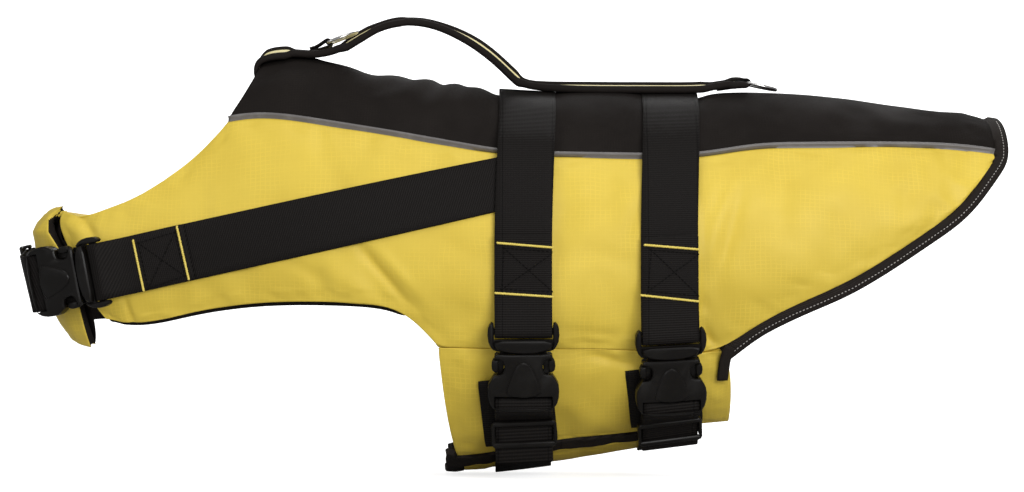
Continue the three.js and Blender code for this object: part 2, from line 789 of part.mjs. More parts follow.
// Tape strips that lie on the near flap under the girth buckles
const tapeFall = 5;
const tapeLift = gap * 1.6;
function tape(label, leftTop, leftBottom) {
  wall(`tape_${label}`, colours.webbing, [0, 0.33, 0.67, 1], spread([[0, 5], [1]]),
    (column, row) => {
      const run = mix(leftTop.run, leftBottom.run, row) + column * tapeWidth;
      const z = mix(leftTop.z, leftBottom.z, row) + column * tapeFall;
      return { run, angle: -angleAt(run, z) };
    },
    () => -tapeLift - tapeThickness,
    () => -tapeLift);
}
tape('front', { run: -85, z: -190 }, { run: -80, z: -236 });
tape('rear', { run: 15, z: -183 }, { run: 20, z: -223 });

// Gathered elastic behind the gap between the chest ends
const elasticEnds = { run: runAt(-345), toRun: pastFront(-394), top: -74, bottom: -96 };
function elasticSpot(column, row) {
  const run = mix(elasticEnds.run, elasticEnds.toRun, column);
  return { run, angle: -angleAt(run, mix(elasticEnds.top, elasticEnds.bottom, row)) };
}
function elasticDepth(run, angle, column, row) {
  return padding + elasticBehind + elasticRipple * Math.sin(column * 40 + row * 2);
}
wall('neck_elastic', colours.blackCloth, spread([[0, 14], [1]]), [0, 0.5, 1], elasticSpot, elasticDepth,
  (...spot) => elasticDepth(...spot) + elasticThickness);

// A seat for hardware: a flat frame that touches the figure at one place.
// Across, along and out are its three directions; "along" points where the strap's male end comes from.
// A frame that leans stands off the figure at its lower end and stays by it at its upper end.
function seat(run, angle, heading, lift, lean = 0, halfLength = 0) {
  const at = skin(run, angle);
  const forward = at.along.clone().multiplyScalar(Math.cos(radians(heading)))
    .addScaledVector(at.down, -Math.sin(radians(heading)) * Math.sign(angle));
  const flat = forward.addScaledVector(at.out, -forward.dot(at.out)).normalize();
  const across = flat.clone().cross(at.out).normalize();
  const along = flat.clone().multiplyScalar(Math.cos(radians(lean)))
    .addScaledVector(at.out, -Math.sin(radians(lean)));
  const out = across.clone().cross(along).normalize();
  const origin = at.point.clone().addScaledVector(at.out, lift + halfLength * Math.sin(radians(lean)));
  const point = (a, w, h) => origin.clone()
    .addScaledVector(along, a).addScaledVector(across, w).addScaledVector(out, h);
  return { origin, along, across, out, point };
}

// Manifold solids from three.js geometry and back
function toSolid(geometry) {
  const bare = geometry.clone();
  bare.deleteAttribute('normal');
  bare.deleteAttribute('uv');
  const merged = mergeVertices(bare, 1e-4);
  return new wasm.Manifold(new wasm.Mesh({
    numProp: 3,
    vertProperties: new Float32Array(merged.getAttribute('position').array),
    triVerts: new Uint32Array(merged.getIndex().array),
  }));
}
function toGeometry(solid) {
  const mesh = solid.getMesh();
  const geometry = new THREE.BufferGeometry();
  geometry.setAttribute('position', new THREE.BufferAttribute(new Float32Array(mesh.vertProperties), 3));
  geometry.setIndex(new THREE.BufferAttribute(new Uint32Array(mesh.triVerts), 1));
  geometry.computeVertexNormals();
  return geometry;
}

// A flat moulding: a shape drawn across and along, raised from "low" to "high" with bevelled edges.
function moulding(shape, low, high, bevel = 0.6) {
  const geometry = new THREE.ExtrudeGeometry(shape, {
    depth: high - low - 2 * bevel,
    bevelEnabled: bevel > 0,
    bevelThickness: bevel,
    bevelSize: bevel,
    bevelOffset: -bevel,
    bevelSegments: 1,
    curveSegments: 4,
  });
  geometry.translate(0, 0, low + bevel);
  return geometry;
}

const vectors = (points) => points.map(([x, y]) => new THREE.Vector2(x, y));
const shapeThrough = (points) => new THREE.Shape(vectors(points));
const pathThrough = (points) => new THREE.Path(vectors(points));

// A shape with two like halves, from points down its right side
function mirrored(rightSide) {
  const left = rightSide.slice().reverse().map(([x, y]) => [-x, y]);
  const points = [...rightSide, ...left].filter(([x, y], i, all) => {
    const [px, py] = all[(i + all.length - 1) % all.length];
    return Math.hypot(x - px, y - py) > 1e-6;
  });
  return shapeThrough(points);
}

// Side-release buckle, in its own frame: across, along, out. It is open where webbing goes round its bars.
const buckle = {
  maleBar: 24.2,
  femaleBar: -29.3,
  femaleTurn: -24.9,
  barLow: 2.7,
  barHigh: 5.5,
  rimLow: 8.1,
  height: 9.6,
  halfLength: 31,
  sliderHalf: 9.6,
  lean: 8,
};

function maleSolid() {
  const outline = mirrored([
    [0, 26.4], [19.9, 26.4], [20.2, 29.8], [21.4, 30.6], [23, 29.2], [24, 26.4], [24.3, 22], [23.7, 17.4],
    [22.2, 14], [20.2, 11.6], [18, 10.6], [15.6, 10.4], [16.6, 7.6], [20.2, 5.6], [21.3, 3.4], [21.6, 0.8],
    [21.2, -2], [19.6, -4], [17.4, -4.3], [15, -8], [12.6, -8], [13.4, -4], [13.4, 0], [12.4, 5], [10.6, 9.6],
    [4, 9.4], [2.2, 7], [2.2, -9], [0, -9.6],
  ]);
  outline.holes.push(pathThrough([[-19.9, 22], [-19.9, 18.6], [19.9, 18.6], [19.9, 22]]));
  const plate = toSolid(moulding(outline, buckle.barLow, buckle.barHigh, 0));
  const crescent = mirrored([
    [0, 18.4], [14, 18.2], [19.2, 17.2], [19.4, 15.2], [17.4, 12.6], [13.4, 10.8], [7, 9.7], [0, 9.4],
  ]);
  const raised = toSolid(moulding(crescent, buckle.barLow - 1.4, buckle.height - 0.4, 0.9));
  const lobe = (points, low, high, bevel) => [-1, 1].map((hand) => (
    toSolid(moulding(shapeThrough(points.map(([x, y]) => [x * hand, y])), low, high, bevel))));
  const ears = lobe([
    [20.2, 29], [21.4, 30.6], [23, 29.2], [24, 26.4], [24.3, 22], [23.7, 17.4], [22.2, 14], [20.2, 11.6],
    [19.2, 13.2], [20.4, 16], [20.2, 21],
  ], buckle.barLow - 1.2, buckle.barHigh + 2, 0.7);
  const buttons = lobe([
    [17.2, 4.4], [20, 5.1], [21.3, 3.4], [21.6, 0.8], [21.2, -2], [19.6, -3.7], [17.4, -3.4], [16.8, 0.4],
  ], buckle.barLow - 1, buckle.barHigh + 1.8, 0.6);
  return [...ears, ...buttons].reduce((whole, piece) => whole.add(piece), plate.add(raised));
}

function femaleSolid() {
  const outline = mirrored([
    [0, 8.8], [12, 8.9], [18.2, 9.3], [19.5, 8.2], [19.6, 6.4], [16.6, 5.6], [14, 3.9], [12.9, 1.6],
    [12.9, -1.6], [14.2, -4.4], [16.4, -5.4], [19.8, -5.4], [21.8, -8.4], [23.6, -11.8], [24.1, -15.6],
    [23.9, -20.4], [22.8, -25], [20.6, -28.6], [12, -30.6], [0, -31],
  ]);
  const shell = toSolid(moulding(outline, 0, buckle.height, 1.1));
  const arch = mirrored([
    [0, 3.8], [3.6, 2.6], [6.4, -1.4], [8.8, -7], [10.8, -13], [11.8, -17.6], [8, -20], [0, -21.2],
  ]);
  const raised = toSolid(moulding(arch, buckle.height - 2, buckle.height + 1.1, 0.8));
  const cavity = mirrored([
    [0, 16], [19.2, 16], [19.2, 6.9], [25, 6.9], [25, -4.7], [18.2, -4.7], [18.2, -10.5], [0, -10.5],
  ]);
  const mouth = toSolid(moulding(cavity, buckle.barLow - 0.4, buckle.barHigh + 0.9, 0));
  const slotTop = [[0, -20.4], [10, -20.2], [19.9, -19.9]];
  const slot = mirrored([...slotTop, [19.9, -23.9], [0, -23.9]]);
  const through = toSolid(moulding(slot, -2, buckle.height + 3, 0));
  const window = mirrored([...slotTop, [19.9, -28.4], [0, -28.9]]);
  const front = toSolid(moulding(window, buckle.barHigh, buckle.height + 3, 0));
  const inner = mirrored([[0, -23.5], [20, -23.5], [20, -33], [0, -33]]);
  const openOver = toSolid(moulding(inner, buckle.barHigh, buckle.rimLow, 0));
  const openUnder = toSolid(moulding(inner, -2, buckle.barLow, 0));
  const cuts = [mouth, through, front, openOver, openUnder];
  return cuts.reduce((whole, cut) => whole.subtract(cut), shell.add(raised));
}

function sliderSolid() {
  const rounded = (halfWide, halfTall, corner) => mirrored([
    [0, halfTall], [halfWide - corner, halfTall], [halfWide - corner * 0.3, halfTall - corner * 0.3],
    [halfWide, halfTall - corner], [halfWide, corner - halfTall],
    [halfWide - corner * 0.3, corner * 0.3 - halfTall], [halfWide - corner, -halfTall], [0, -halfTall],
  ]);
  const top = rounded(22.2, 9.6, 3);
  top.holes.push(pathThrough([[-19.9, 5.6], [-19.9, -5.6], [19.9, -5.6], [19.9, 5.6]]));
  const upper = toSolid(moulding(top, 4.5, 7.4, 0.9));
  const sides = [-1, 1].map((hand) => toSolid(moulding(shapeThrough(
    [[20.1, 7], [22, 6], [22, -6], [20.1, -7]].map(([x, y]) => [x * hand, y]),
  ), 0, 5, 0)));
  const bar = toSolid(moulding(mirrored([[0, 2.2], [21, 2.2], [21, -2.2], [0, -2.2]]), 0, 2, 0));
  return upper.add(sides[0]).add(sides[1]).add(bar);
}

function hardware(name, solid, at) {
  const mesh = new THREE.Mesh(toGeometry(solid), colours.plastic);
  mesh.name = name;
  mesh.quaternion.setFromRotationMatrix(new THREE.Matrix4().makeBasis(at.across, at.along, at.out));
  mesh.position.copy(at.origin);
  root.add(mesh);
}

const female = femaleSolid();
const male = maleSolid();
const slider = sliderSolid();

// Where the webbing runs in a buckle or slider: distances along the seat and heights above it
const under = 0.2 + webbingThickness / 2;
const over = buckle.barHigh + 1.4 * gap + webbingThickness / 2;
const turnMiddle = (under + over) / 2;
const turnRadius = (over - under) / 2;
const sliderLower = 2 + gap + webbingThickness / 2;

function hairpin(at, start, direction) {
  return spread([[-80, 5], [80]]).map((degrees) => (
    at.point(start + direction * turnRadius * Math.cos(radians(degrees)), 0,
      turnMiddle - turnRadius * Math.sin(radians(degrees)))
  ));
}

// A place where webbing lies on the figure, with its two edges bent to lie on it too.
function lying(run, angle, lift, halfRun = webbingWidth / 2, halfAngle = 0) {
  const left = skinPoint(run - halfRun, angle - halfAngle);
  const right = skinPoint(run + halfRun, angle + halfAngle);
  const { point, out } = skin(run, angle);
  const fall = left.clone().add(right).multiplyScalar(0.5).sub(point).dot(out);
  return {
    point: point.addScaledVector(out, lift + webbingThickness / 2),
    side: right.sub(left).normalize(),
    bow: out.clone().multiplyScalar(fall),
  };
}

const webbingSection = [-1, 0, 1].map((edgeSide) => [(edgeSide * webbingWidth) / 2, -webbingThickness / 2])
  .concat([1, 0, -1].map((edgeSide) => [(edgeSide * webbingWidth) / 2, webbingThickness / 2]));
const layer = webbingThickness + 0.35;
const seated = (at, points) => points.map((point) => ({ point, side: at.across }));

// Girth straps, belly straps and their hardware
function girth(label, x, buckleZ, sliderZ, sliderLean, freeLength) {
  const nearLift = gap * 2.6 + tapeThickness;
  const low = x - strapDrift;
  const buckleSeat = seat(low, -angleAt(low, buckleZ), 90, nearLift + 0.3, buckle.lean, buckle.halfLength);
  hardware(`buckle_male_${label}`, male, buckleSeat);
  hardware(`buckle_female_${label}`, female, buckleSeat);
  const sliderSeat = seat(low, -angleAt(low, sliderZ), 90, nearLift + 3.4, sliderLean, buckle.sliderHalf);
  hardware(`slider_${label}`, slider, sliderSeat);
  const drift = (angle) => strapDrift * smoothStep((Math.abs(angle) - 25) / 60);
  const at = (angle, lift) => lying(x - drift(angle), angle, lift);

  // From the cut end on the near side, down round the male bar, up over the back and down the far side
  const stitchTop = -angleAt(x, -92);
  const barAngle = -angleAt(x, buckleZ + buckle.maleBar);
  const overChestStrap = label === 'front' ? layer : 0;
  const upperLift = (angle) => {
    const side = Math.abs(angle);
    const chest = overChestStrap * smoothStep((side - 38) / 8) * smoothStep((88 - side) / 8);
    const cord = 0.6 * smoothStep((60 - side) / 8) * smoothStep((side - 34) / 8);
    const dip = (strapDip + 0.1) * smoothStep((strapDipAngle + 7 - side) / 7);
    return webbingLift + chest + cord - dip;
  };
  const foldedBack = spread([[stitchTop, 7], [barAngle + 10]]).map((angle) => (
    at(angle, upperLift(angle) + layer + 1.2 * smoothStep((barAngle + 26 - angle) / 16))));
  const overBack = spread([[barAngle + 8, 17], [0, 15], [angleAt(x, -165)]]).map((angle) => (
    at(angle, upperLift(angle))));
  sweep(`girth_strap_${label}`, colours.webbing, frames([
    ...foldedBack,
    ...seated(buckleSeat, [
      buckleSeat.point(buckle.maleBar + 2.5, 0, over),
      ...hairpin(buckleSeat, buckle.maleBar - 1.2, -1),
      buckleSeat.point(buckle.maleBar + 3, 0, under),
    ]),
    ...overBack,
  ]), webbingSection);

  // From the hanging cut end up through the slider, round the female bar and back under the belly
  const sliderAngle = -angleAt(x, sliderZ);
  const farEndAngle = angleAt(x, -126) - 360;
  const lapAngle = angleAt(x, -186) - 360;
  const lowerLift = (angle) => {
    const lap = smoothStep((lapAngle - angle) / 6);
    const onTape = smoothStep((angle + 178) / 10);
    return mix(webbingLift, nearLift, onTape) + layer * lap;
  };
  const underBelly = spread([[sliderAngle - 9, 16], [farEndAngle]])
    .map((angle) => at(angle, lowerLift(angle)));
  sweep(`belly_strap_${label}`, colours.webbing, frames([
    ...seated(sliderSeat, [
      sliderSeat.point(-9.8 - freeLength, 0, sliderLower - 0.6),
      sliderSeat.point(-9.8 - freeLength / 2, 0, sliderLower),
      sliderSeat.point(-9.8, 0, sliderLower),
      sliderSeat.point(9.8, 0, sliderLower),
    ]),
    ...seated(buckleSeat, [
      buckleSeat.point(buckle.femaleBar - 2.6, 0, over),
      ...hairpin(buckleSeat, buckle.femaleTurn, 1),
      buckleSeat.point(buckle.femaleBar - 3, 0, under),
    ]),
    ...seated(sliderSeat, [sliderSeat.point(8.5, 0, -1.4), sliderSeat.point(-8.5, 0, -1.4)]),
    ...underBelly,
  ]), webbingSection);
}
girth('front', frontStrapX, -176.6, -219, 24, 12);
girth('rear', rearStrapX, -179, -216.5, 16, 6);

// Chest straps: their middle line falls towards the front and is nearly level across the chest
const strapTuck = 8;
const chestStrapEnd = frontStrapX - strapTuck;
const chestLine = reader([
  { ahead: 0, z: -117.5 },
  { ahead: 30, z: -120.5 },
  { ahead: 60, z: -121.5 },
  { ahead: 105, z: -115.5 },
  { ahead: 160, z: -103.8 },
  { ahead: chestStrapEnd - chestFront, z: -54 },
], 'ahead', 'z');
const chestZ = (run) => chestLine(Math.abs(run - chestFront));
const chestSlope = (run) => (chestZ(run + 4) - chestZ(run - 4)) / 8;
function onChest(run, hand, lift) {
  const slope = chestSlope(run);
  const half = webbingWidth / 2 / Math.hypot(1, slope);
  const angle = hand * angleAt(run, chestZ(run));
  return lying(run, angle, lift, -slope * half, (-hand * half) / skin(run, angle).perDegree);
}

const chestSeatRun = runAt(-365);
const chestHeading = (Math.atan(chestSlope(chestSeatRun)) * 180) / Math.PI;
const chestSeat = seat(chestSeatRun, -angleAt(chestSeatRun, chestZ(chestSeatRun)), chestHeading, 1.2);
hardware('buckle_male_chest', male, chestSeat);
hardware('buckle_female_chest', female, chestSeat);
const chestSliderSeat = seat(chestFront, angleAt(chestFront, chestZ(chestFront)), 0, 4.4);
hardware('slider_chest', slider, chestSliderSeat);

sweep('chest_strap_near', colours.webbing, frames([
  ...spread([[-281, 5], [-327]]).map((run) => onChest(run, near, webbingLift + layer)),
  ...seated(chestSeat, [
    chestSeat.point(buckle.maleBar + 3.2, 0, over),
    ...hairpin(chestSeat, buckle.maleBar - 1.2, -1),
    chestSeat.point(buckle.maleBar + 3, 0, under),
  ]),
  ...spread([[-328, 15], [chestStrapEnd]]).map((run) => onChest(run, near, webbingLift)),
]), webbingSection);

// The far strap stands off the cloth where it turns the front corner to the near side
const standOff = reader([
  { run: chestFront - 70, lift: 16 },
  { run: chestFront - 42, lift: 9.5 },
  { run: chestFront - 22, lift: 4.4 },
  { run: chestFront, lift: 2 },
  { run: chestFront + 40, lift: 2 },
  { run: chestFront + 80, lift: webbingLift + 0.2 },
  { run: chestFront + 120, lift: webbingLift },
], 'run', 'lift');
sweep('chest_strap_far', colours.webbing, frames([
  ...spread([[chestFront + 80, 5], [chestFront + 13]]).map((run) => onChest(run, far, standOff(run) + layer)),
  ...seated(chestSliderSeat, [
    chestSliderSeat.point(9.8, 0, sliderLower),
    chestSliderSeat.point(-9.8, 0, sliderLower),
  ]),
  ...spread([[chestFront - 16, 2], [chestFront - 36]])
    .map((run) => onChest(run, far, standOff(run) + layer + 2)),
  ...seated(chestSeat, [
    chestSeat.point(buckle.femaleBar - 3.6, 0, over),
    ...hairpin(chestSeat, buckle.femaleTurn, 1),
    chestSeat.point(buckle.femaleBar - 4, 0, under),
  ]),
  ...spread([[chestFront - 34, 2], [chestFront - 15]]).map((run) => onChest(run, far, standOff(run))),
  ...seated(chestSliderSeat, [
    chestSliderSeat.point(-8.5, 0, -1.4),
    chestSliderSeat.point(8.5, 0, -1.4),
  ]),
  ...spread([[chestFront + 13, 8], [chestFront + 100, 14], [chestStrapEnd]]).map((run) => (
    onChest(run, far, standOff(run)))),
]), webbingSection);

// Handle: a padded band along the spine that rises as an arch behind the neck
const handleRows = [
  { x: -238.8, z: 19, half: 1.6 },
  { x: -239.3, z: 27, half: 2 },
  { x: -236, z: 33, half: 2.4 },
  { x: -229.5, z: 35.4, half: handleHalf },
  { x: -219, z: 36.4, half: handleHalf },
  { x: -207, z: 35.4, half: handleHalf },
  { x: -196, z: 35.2, half: handleHalf },
  { x: -184.7, z: 38, half: handleHalf },
  { x: -174.2, z: 43.4, half: handleHalf },
  { x: -159, z: 52.4, half: handleHalf },
  { x: -145, z: 57.4, half: handleHalf },
  { x: -132.5, z: 58.2, half: handleHalf },
  { x: -120, z: 57, half: handleHalf },
  { x: -104, z: 51.6, half: handleHalf },
  { x: -88, z: 43.4, half: handleHalf },
  { x: -74, z: 33, half: handleHalf },
  { x: -63, z: 22.4, half: handleHalf },
  { x: -54, z: 14.6, half: handleHalf },
  { x: -40, z: 12.8, half: handleHalf },
  { x: 0, z: 11.8, half: handleHalf },
  { x: 45, z: 11.8, half: handleHalf },
  { x: 68, z: 11.8, half: handleHalf },
  { x: 80, z: 12.9, half: handleHalf },
  { x: 90, z: 14.6, half: handleHalf },
  { x: 98.5, z: 15.4, half: handleHalf },
  { x: 103.5, z: 14.6, half: 2 },
];
const handleCurve = new THREE.CatmullRomCurve3(
  handleRows.map(({ x, z }) => new THREE.Vector3(x, 0, z)), false, 'centripetal',
);
function handleHalfAt(share) {
  const place = share * (handleRows.length - 1);
  const i = Math.min(Math.floor(place), handleRows.length - 2);
  return mix(handleRows[i].half, handleRows[i + 1].half, place - i);
}
const handleSpots = spread([[0, 34], [1]]).map((share) => ({
  point: handleCurve.getPoint(share),
  half: handleHalfAt(share),
}));
const bandEnd = 98.8;
const sideways = new THREE.Vector3(0, 1, 0);
const handleFrames = frames(handleSpots.map(({ point }) => ({ point, side: sideways })));
const halfFrames = (shift, drop) => handleFrames.map((frame, i) => ({
  origin: frame.origin.clone().addScaledVector(sideways, shift).addScaledVector(frame.up, -drop),
  side: frame.side,
  up: frame.up.clone().multiplyScalar(handleSpots[i].half / handleHalf),
}));
sweep('handle_band', colours.paleYellow, halfFrames(0, 0).filter((frame) => frame.origin.x < bandEnd),
  rectangle(-handleWidth / 2, handleWidth / 2, -handleBandHalf, handleBandHalf));
for (const [hand, label] of [[near, 'near'], [far, 'far']]) {
  const shift = hand * (handleWidth / 2 + gap + handleHalf);
  sweep(`handle_piping_${label}`, colours.blackCloth, halfFrames(shift, handleEdgeDrop),
    circle(handleHalf, 6));
}

// Leash rings: D-rings that swing on their straight bars in webbing loops on the handle
function ringLoop(label, bar, legs) {
  const arc = spread([[-100, 8], [100]]).map((degrees) => new THREE.Vector3(
    bar.x + loopRadius * Math.cos(radians(degrees)), 0, bar.z - loopRadius * Math.sin(radians(degrees)),
  ));
  const points = [...legs.upper, ...arc, ...legs.lower];
  sweep(`ring_loop_${label}`, colours.webbing,
    frames(points.map((point) => ({ point, side: sideways }))),
    rectangle(-loopWidth / 2, loopWidth / 2, -loopThickness / 2, loopThickness / 2));
}
function ring(label, bar, tilt) {
  const barHalf = ringHalfWidth - ringCorner;
  const cornerSpot = (degrees, hand) => [
    ringCorner - ringCorner * Math.cos(radians(degrees)),
    hand * (barHalf + ringCorner * Math.sin(radians(degrees))),
  ];
  const bowSpot = (degrees) => [
    ringReach - ringHalfWidth + ringHalfWidth * Math.cos(radians(degrees)),
    ringHalfWidth * Math.sin(radians(degrees)),
  ];
  const shape = [
    ...[-0.8, 0, 0.8].map((share) => [0, share * barHalf]),
    ...[20, 50, 80].map((degrees) => cornerSpot(degrees, 1)),
    ...spread([[90, 8], [-90]]).map(bowSpot),
    ...[80, 50, 20].map((degrees) => cornerSpot(degrees, -1)),
  ];
  const away = new THREE.Vector3(Math.cos(radians(tilt)), 0, Math.sin(radians(tilt)));
  const out = away.clone().cross(sideways).negate().normalize();
  const count = shape.length;
  const path = shape.map(([a, w], i) => {
    const [pa, pw] = shape[(i + count - 1) % count];
    const [na, nw] = shape[(i + 1) % count];
    const along = away.clone().multiplyScalar(na - pa).addScaledVector(sideways, nw - pw).normalize();
    return {
      origin: new THREE.Vector3(bar.x, 0, bar.z).addScaledVector(away, a).addScaledVector(sideways, w),
      side: along.cross(out).normalize(),
      up: out,
    };
  });
  sweep(`ring_${label}`, colours.steel, path, circle(ringWire, 6), true);
}
const frontBar = { x: -190.4, z: 43.4 };
const rearBar = { x: 102, z: 15.4 };
const onSpine = (x, z) => new THREE.Vector3(x, 0, z);
ringLoop('front', frontBar, {
  upper: [onSpine(-203, 39.6), onSpine(-198.5, 40.6), onSpine(-194.2, 43.6)],
  lower: [onSpine(-194.3, 39.3), onSpine(-203, 37.8)],
});
ringLoop('rear', rearBar, {
  upper: [onSpine(80, 15.3), onSpine(86, 16.5), onSpine(95, 17.9)],
  lower: [onSpine(95, 12.7), onSpine(87, 11.5), onSpine(82, 10.8)],
});
ring('front', frontBar, 21);
ring('rear', rearBar, -12.5);

export default root;
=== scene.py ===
import math
import random

import bmesh
import bpy
import numpy as np
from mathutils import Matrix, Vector, noise
from mathutils.bvhtree import BVHTree


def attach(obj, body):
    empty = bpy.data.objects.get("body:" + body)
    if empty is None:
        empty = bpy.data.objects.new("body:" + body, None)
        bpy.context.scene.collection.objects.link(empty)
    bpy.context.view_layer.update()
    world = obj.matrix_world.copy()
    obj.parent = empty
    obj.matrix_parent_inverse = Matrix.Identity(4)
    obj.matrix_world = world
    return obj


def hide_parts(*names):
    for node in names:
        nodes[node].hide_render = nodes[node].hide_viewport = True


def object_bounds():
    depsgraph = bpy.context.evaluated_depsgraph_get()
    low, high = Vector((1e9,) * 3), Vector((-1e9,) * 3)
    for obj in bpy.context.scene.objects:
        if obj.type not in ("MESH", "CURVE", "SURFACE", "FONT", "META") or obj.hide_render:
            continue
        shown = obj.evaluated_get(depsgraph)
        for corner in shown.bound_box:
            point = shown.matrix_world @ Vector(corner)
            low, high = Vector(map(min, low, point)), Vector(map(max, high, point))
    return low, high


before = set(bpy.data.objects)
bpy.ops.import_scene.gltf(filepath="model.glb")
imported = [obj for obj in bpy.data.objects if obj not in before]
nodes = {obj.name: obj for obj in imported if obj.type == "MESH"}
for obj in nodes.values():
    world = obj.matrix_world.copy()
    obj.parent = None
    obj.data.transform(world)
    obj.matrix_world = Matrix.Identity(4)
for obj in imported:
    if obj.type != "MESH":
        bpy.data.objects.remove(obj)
cadBox = [list(corner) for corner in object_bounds()]
scene = bpy.context.scene
print("frame loaded:", len(nodes), "nodes")

# Camera: level, square to the near side. One pixel is 0.7 mm on the plane of the spine.
camera = {"distance": 3.0, "pixel": 0.0007, "middle": (512, 246), "x": -0.0616, "z": -0.09849}
cameraData = bpy.data.cameras.new("camera")
cameraData.sensor_width = 36
cameraData.lens = 36 * camera["distance"] / (1024 * camera["pixel"])
cameraObject = bpy.data.objects.new("camera", cameraData)
cameraObject.location = (camera["x"], -camera["distance"], camera["z"])
cameraObject.rotation_euler = (math.pi / 2, 0, 0)
scene.collection.objects.link(cameraObject)
scene.camera = cameraObject


def fromPicture(px, py, nearness=0.09):      # x and z of a picture point, on a plane that far in front of the spine
    scale = camera["pixel"] * (camera["distance"] - nearness) / camera["distance"]
    return (camera["x"] + (px - camera["middle"][0]) * scale, camera["z"] + (camera["middle"][1] - py) * scale)


# ---- colours, shared effects and materials

finish = {
    "yellow": (0.78, 0.575, 0.070),
    "yellowDeep": (0.71, 0.515, 0.056),
    "paleYellow": (0.87, 0.76, 0.36),
    "blackCloth": (0.0125, 0.0098, 0.0084),
    "webbing": (0.0054, 0.0044, 0.0039),
    "piping": (0.135, 0.125, 0.120),
    "plastic": (0.0055, 0.0046, 0.0040),
    "steel": (0.62, 0.61, 0.60),
    "yellowThread": (0.83, 0.66, 0.14),
    "blackThread": (0.003, 0.0026, 0.0024),
    "greyThread": (0.42, 0.40, 0.38),
}


class Nodes:                                  # a short way to write node trees
    def __init__(self, tree):
        self.tree = tree

    def add(self, kind, inputs=None, **settings):
        made = self.tree.nodes.new(kind)
        for key, value in settings.items():
            setattr(made, key, value)
        for key, value in (inputs or {}).items():
            self.put(made.inputs[key], value)
        return made

    def put(self, socket, value):
        if isinstance(value, bpy.types.NodeSocket):
            self.tree.links.new(value, socket)
        elif isinstance(value, bpy.types.Node):
            self.tree.links.new(value.outputs[0], socket)
        else:
            socket.default_value = value

    def math(self, operation, a, b=None, c=None):
        given = {i: v for i, v in enumerate((a, b, c)) if v is not None}
        return self.add("ShaderNodeMath", given, operation=operation)

    def smooth(self, value, low, high, toLow=0.0, toHigh=1.0):
        return self.add("ShaderNodeMapRange", {"Value": value, "From Min": low, "From Max": high,
                                               "To Min": toLow, "To Max": toHigh},
                        interpolation_type="SMOOTHSTEP")


def shaderGroup(name, inputs, outputs):
    group = bpy.data.node_groups.new(name, "ShaderNodeTree")
    for socketName, kind, value in inputs:
        socket = group.interface.new_socket(socketName, in_out="INPUT", socket_type=kind)
        if value is not None:
            socket.default_value = value
    for socketName, kind in outputs:
        group.interface.new_socket(socketName, in_out="OUTPUT", socket_type=kind)
    write = Nodes(group)
    return group, write, write.add("NodeGroupInput"), write.add("NodeGroupOutput")


# Ripstop: a fine plain weave with thicker threads in a square grid. The vector is in millimetres on the cloth.
ripstop, w, given, result = shaderGroup("ripstopWeave", [
    ("Place", "NodeSocketVector", None), ("Thread pitch", "NodeSocketFloat", 0.55),
    ("Grid pitch", "NodeSocketFloat", 3.3), ("Grid width", "NodeSocketFloat", 0.16),
], [("Height", "NodeSocketFloat"), ("Grid", "NodeSocketFloat"), ("Patches", "NodeSocketFloat")])
waver = w.add("ShaderNodeTexNoise", {"Vector": given.outputs["Place"], "Scale": 0.035, "Detail": 3.0})
shift = w.add("ShaderNodeVectorMath", {0: waver.outputs["Color"], 1: (0.5, 0.5, 0.5)}, operation="SUBTRACT")
bent = w.add("ShaderNodeVectorMath", {0: shift, 1: (5.0, 5.0, 5.0), 2: given.outputs["Place"]},
             operation="MULTIPLY_ADD")
parts = w.add("ShaderNodeSeparateXYZ", {0: bent})
weaves, lines = [], []
for axis in ("X", "Y"):
    turns = w.math("DIVIDE", parts.outputs[axis], given.outputs["Thread pitch"])
    weaves.append(w.math("SINE", w.math("MULTIPLY", turns, 2 * math.pi)))
    cell = w.math("FRACT", w.math("DIVIDE", parts.outputs[axis], given.outputs["Grid pitch"]))
    aside = w.math("ABSOLUTE", w.math("SUBTRACT", cell, 0.5))
    lines.append(w.smooth(aside, 0.0, given.outputs["Grid width"], 1.0, 0.0))
seen = w.add("ShaderNodeTexNoise", {"Vector": given.outputs["Place"], "Scale": 0.045, "Detail": 3.0})
grid = w.math("MULTIPLY", w.math("MAXIMUM", lines[0], lines[1]), w.smooth(seen, 0.38, 0.66, 0.18, 1.0))
fibre = w.add("ShaderNodeTexNoise", {"Vector": given.outputs["Place"], "Scale": 1.3, "Detail": 2.0})
weave = w.math("MULTIPLY_ADD", w.math("MULTIPLY", weaves[0], weaves[1]), 0.18, 0.3)
height = w.math("ADD", w.math("MULTIPLY_ADD", grid, 0.45, weave), w.math("MULTIPLY", fibre, 0.25))
patches = w.add("ShaderNodeTexNoise", {"Vector": given.outputs["Place"], "Scale": 0.012, "Detail": 5.0,
                                       "Roughness": 0.6})
w.put(result.inputs["Height"], height)
w.put(result.inputs["Grid"], grid)
w.put(result.inputs["Patches"], patches)

# Webbing: ribs across it, fainter lines along it and a firm edge. X is across from the middle, Y along.
ribbed, w, given, result = shaderGroup("webbingRibs", [
    ("Place", "NodeSocketVector", None), ("Rib pitch", "NodeSocketFloat", 1.55),
    ("Half width", "NodeSocketFloat", 19.5),
], [("Height", "NodeSocketFloat"), ("Rib", "NodeSocketFloat"), ("Edge", "NodeSocketFloat")])
parts = w.add("ShaderNodeSeparateXYZ", {0: given.outputs["Place"]})
rough = w.add("ShaderNodeTexNoise", {"Vector": given.outputs["Place"], "Scale": 0.9, "Detail": 3.0})
along = w.math("ADD", parts.outputs["Y"], w.math("MULTIPLY", rough, 0.25))
rib = w.math("SINE", w.math("MULTIPLY", w.math("DIVIDE", along, given.outputs["Rib pitch"]), 2 * math.pi))
cord = w.math("SINE", w.math("MULTIPLY", parts.outputs["X"], 2 * math.pi / 1.9))
fromEdge = w.math("SUBTRACT", given.outputs["Half width"], w.math("ABSOLUTE", parts.outputs["X"]))
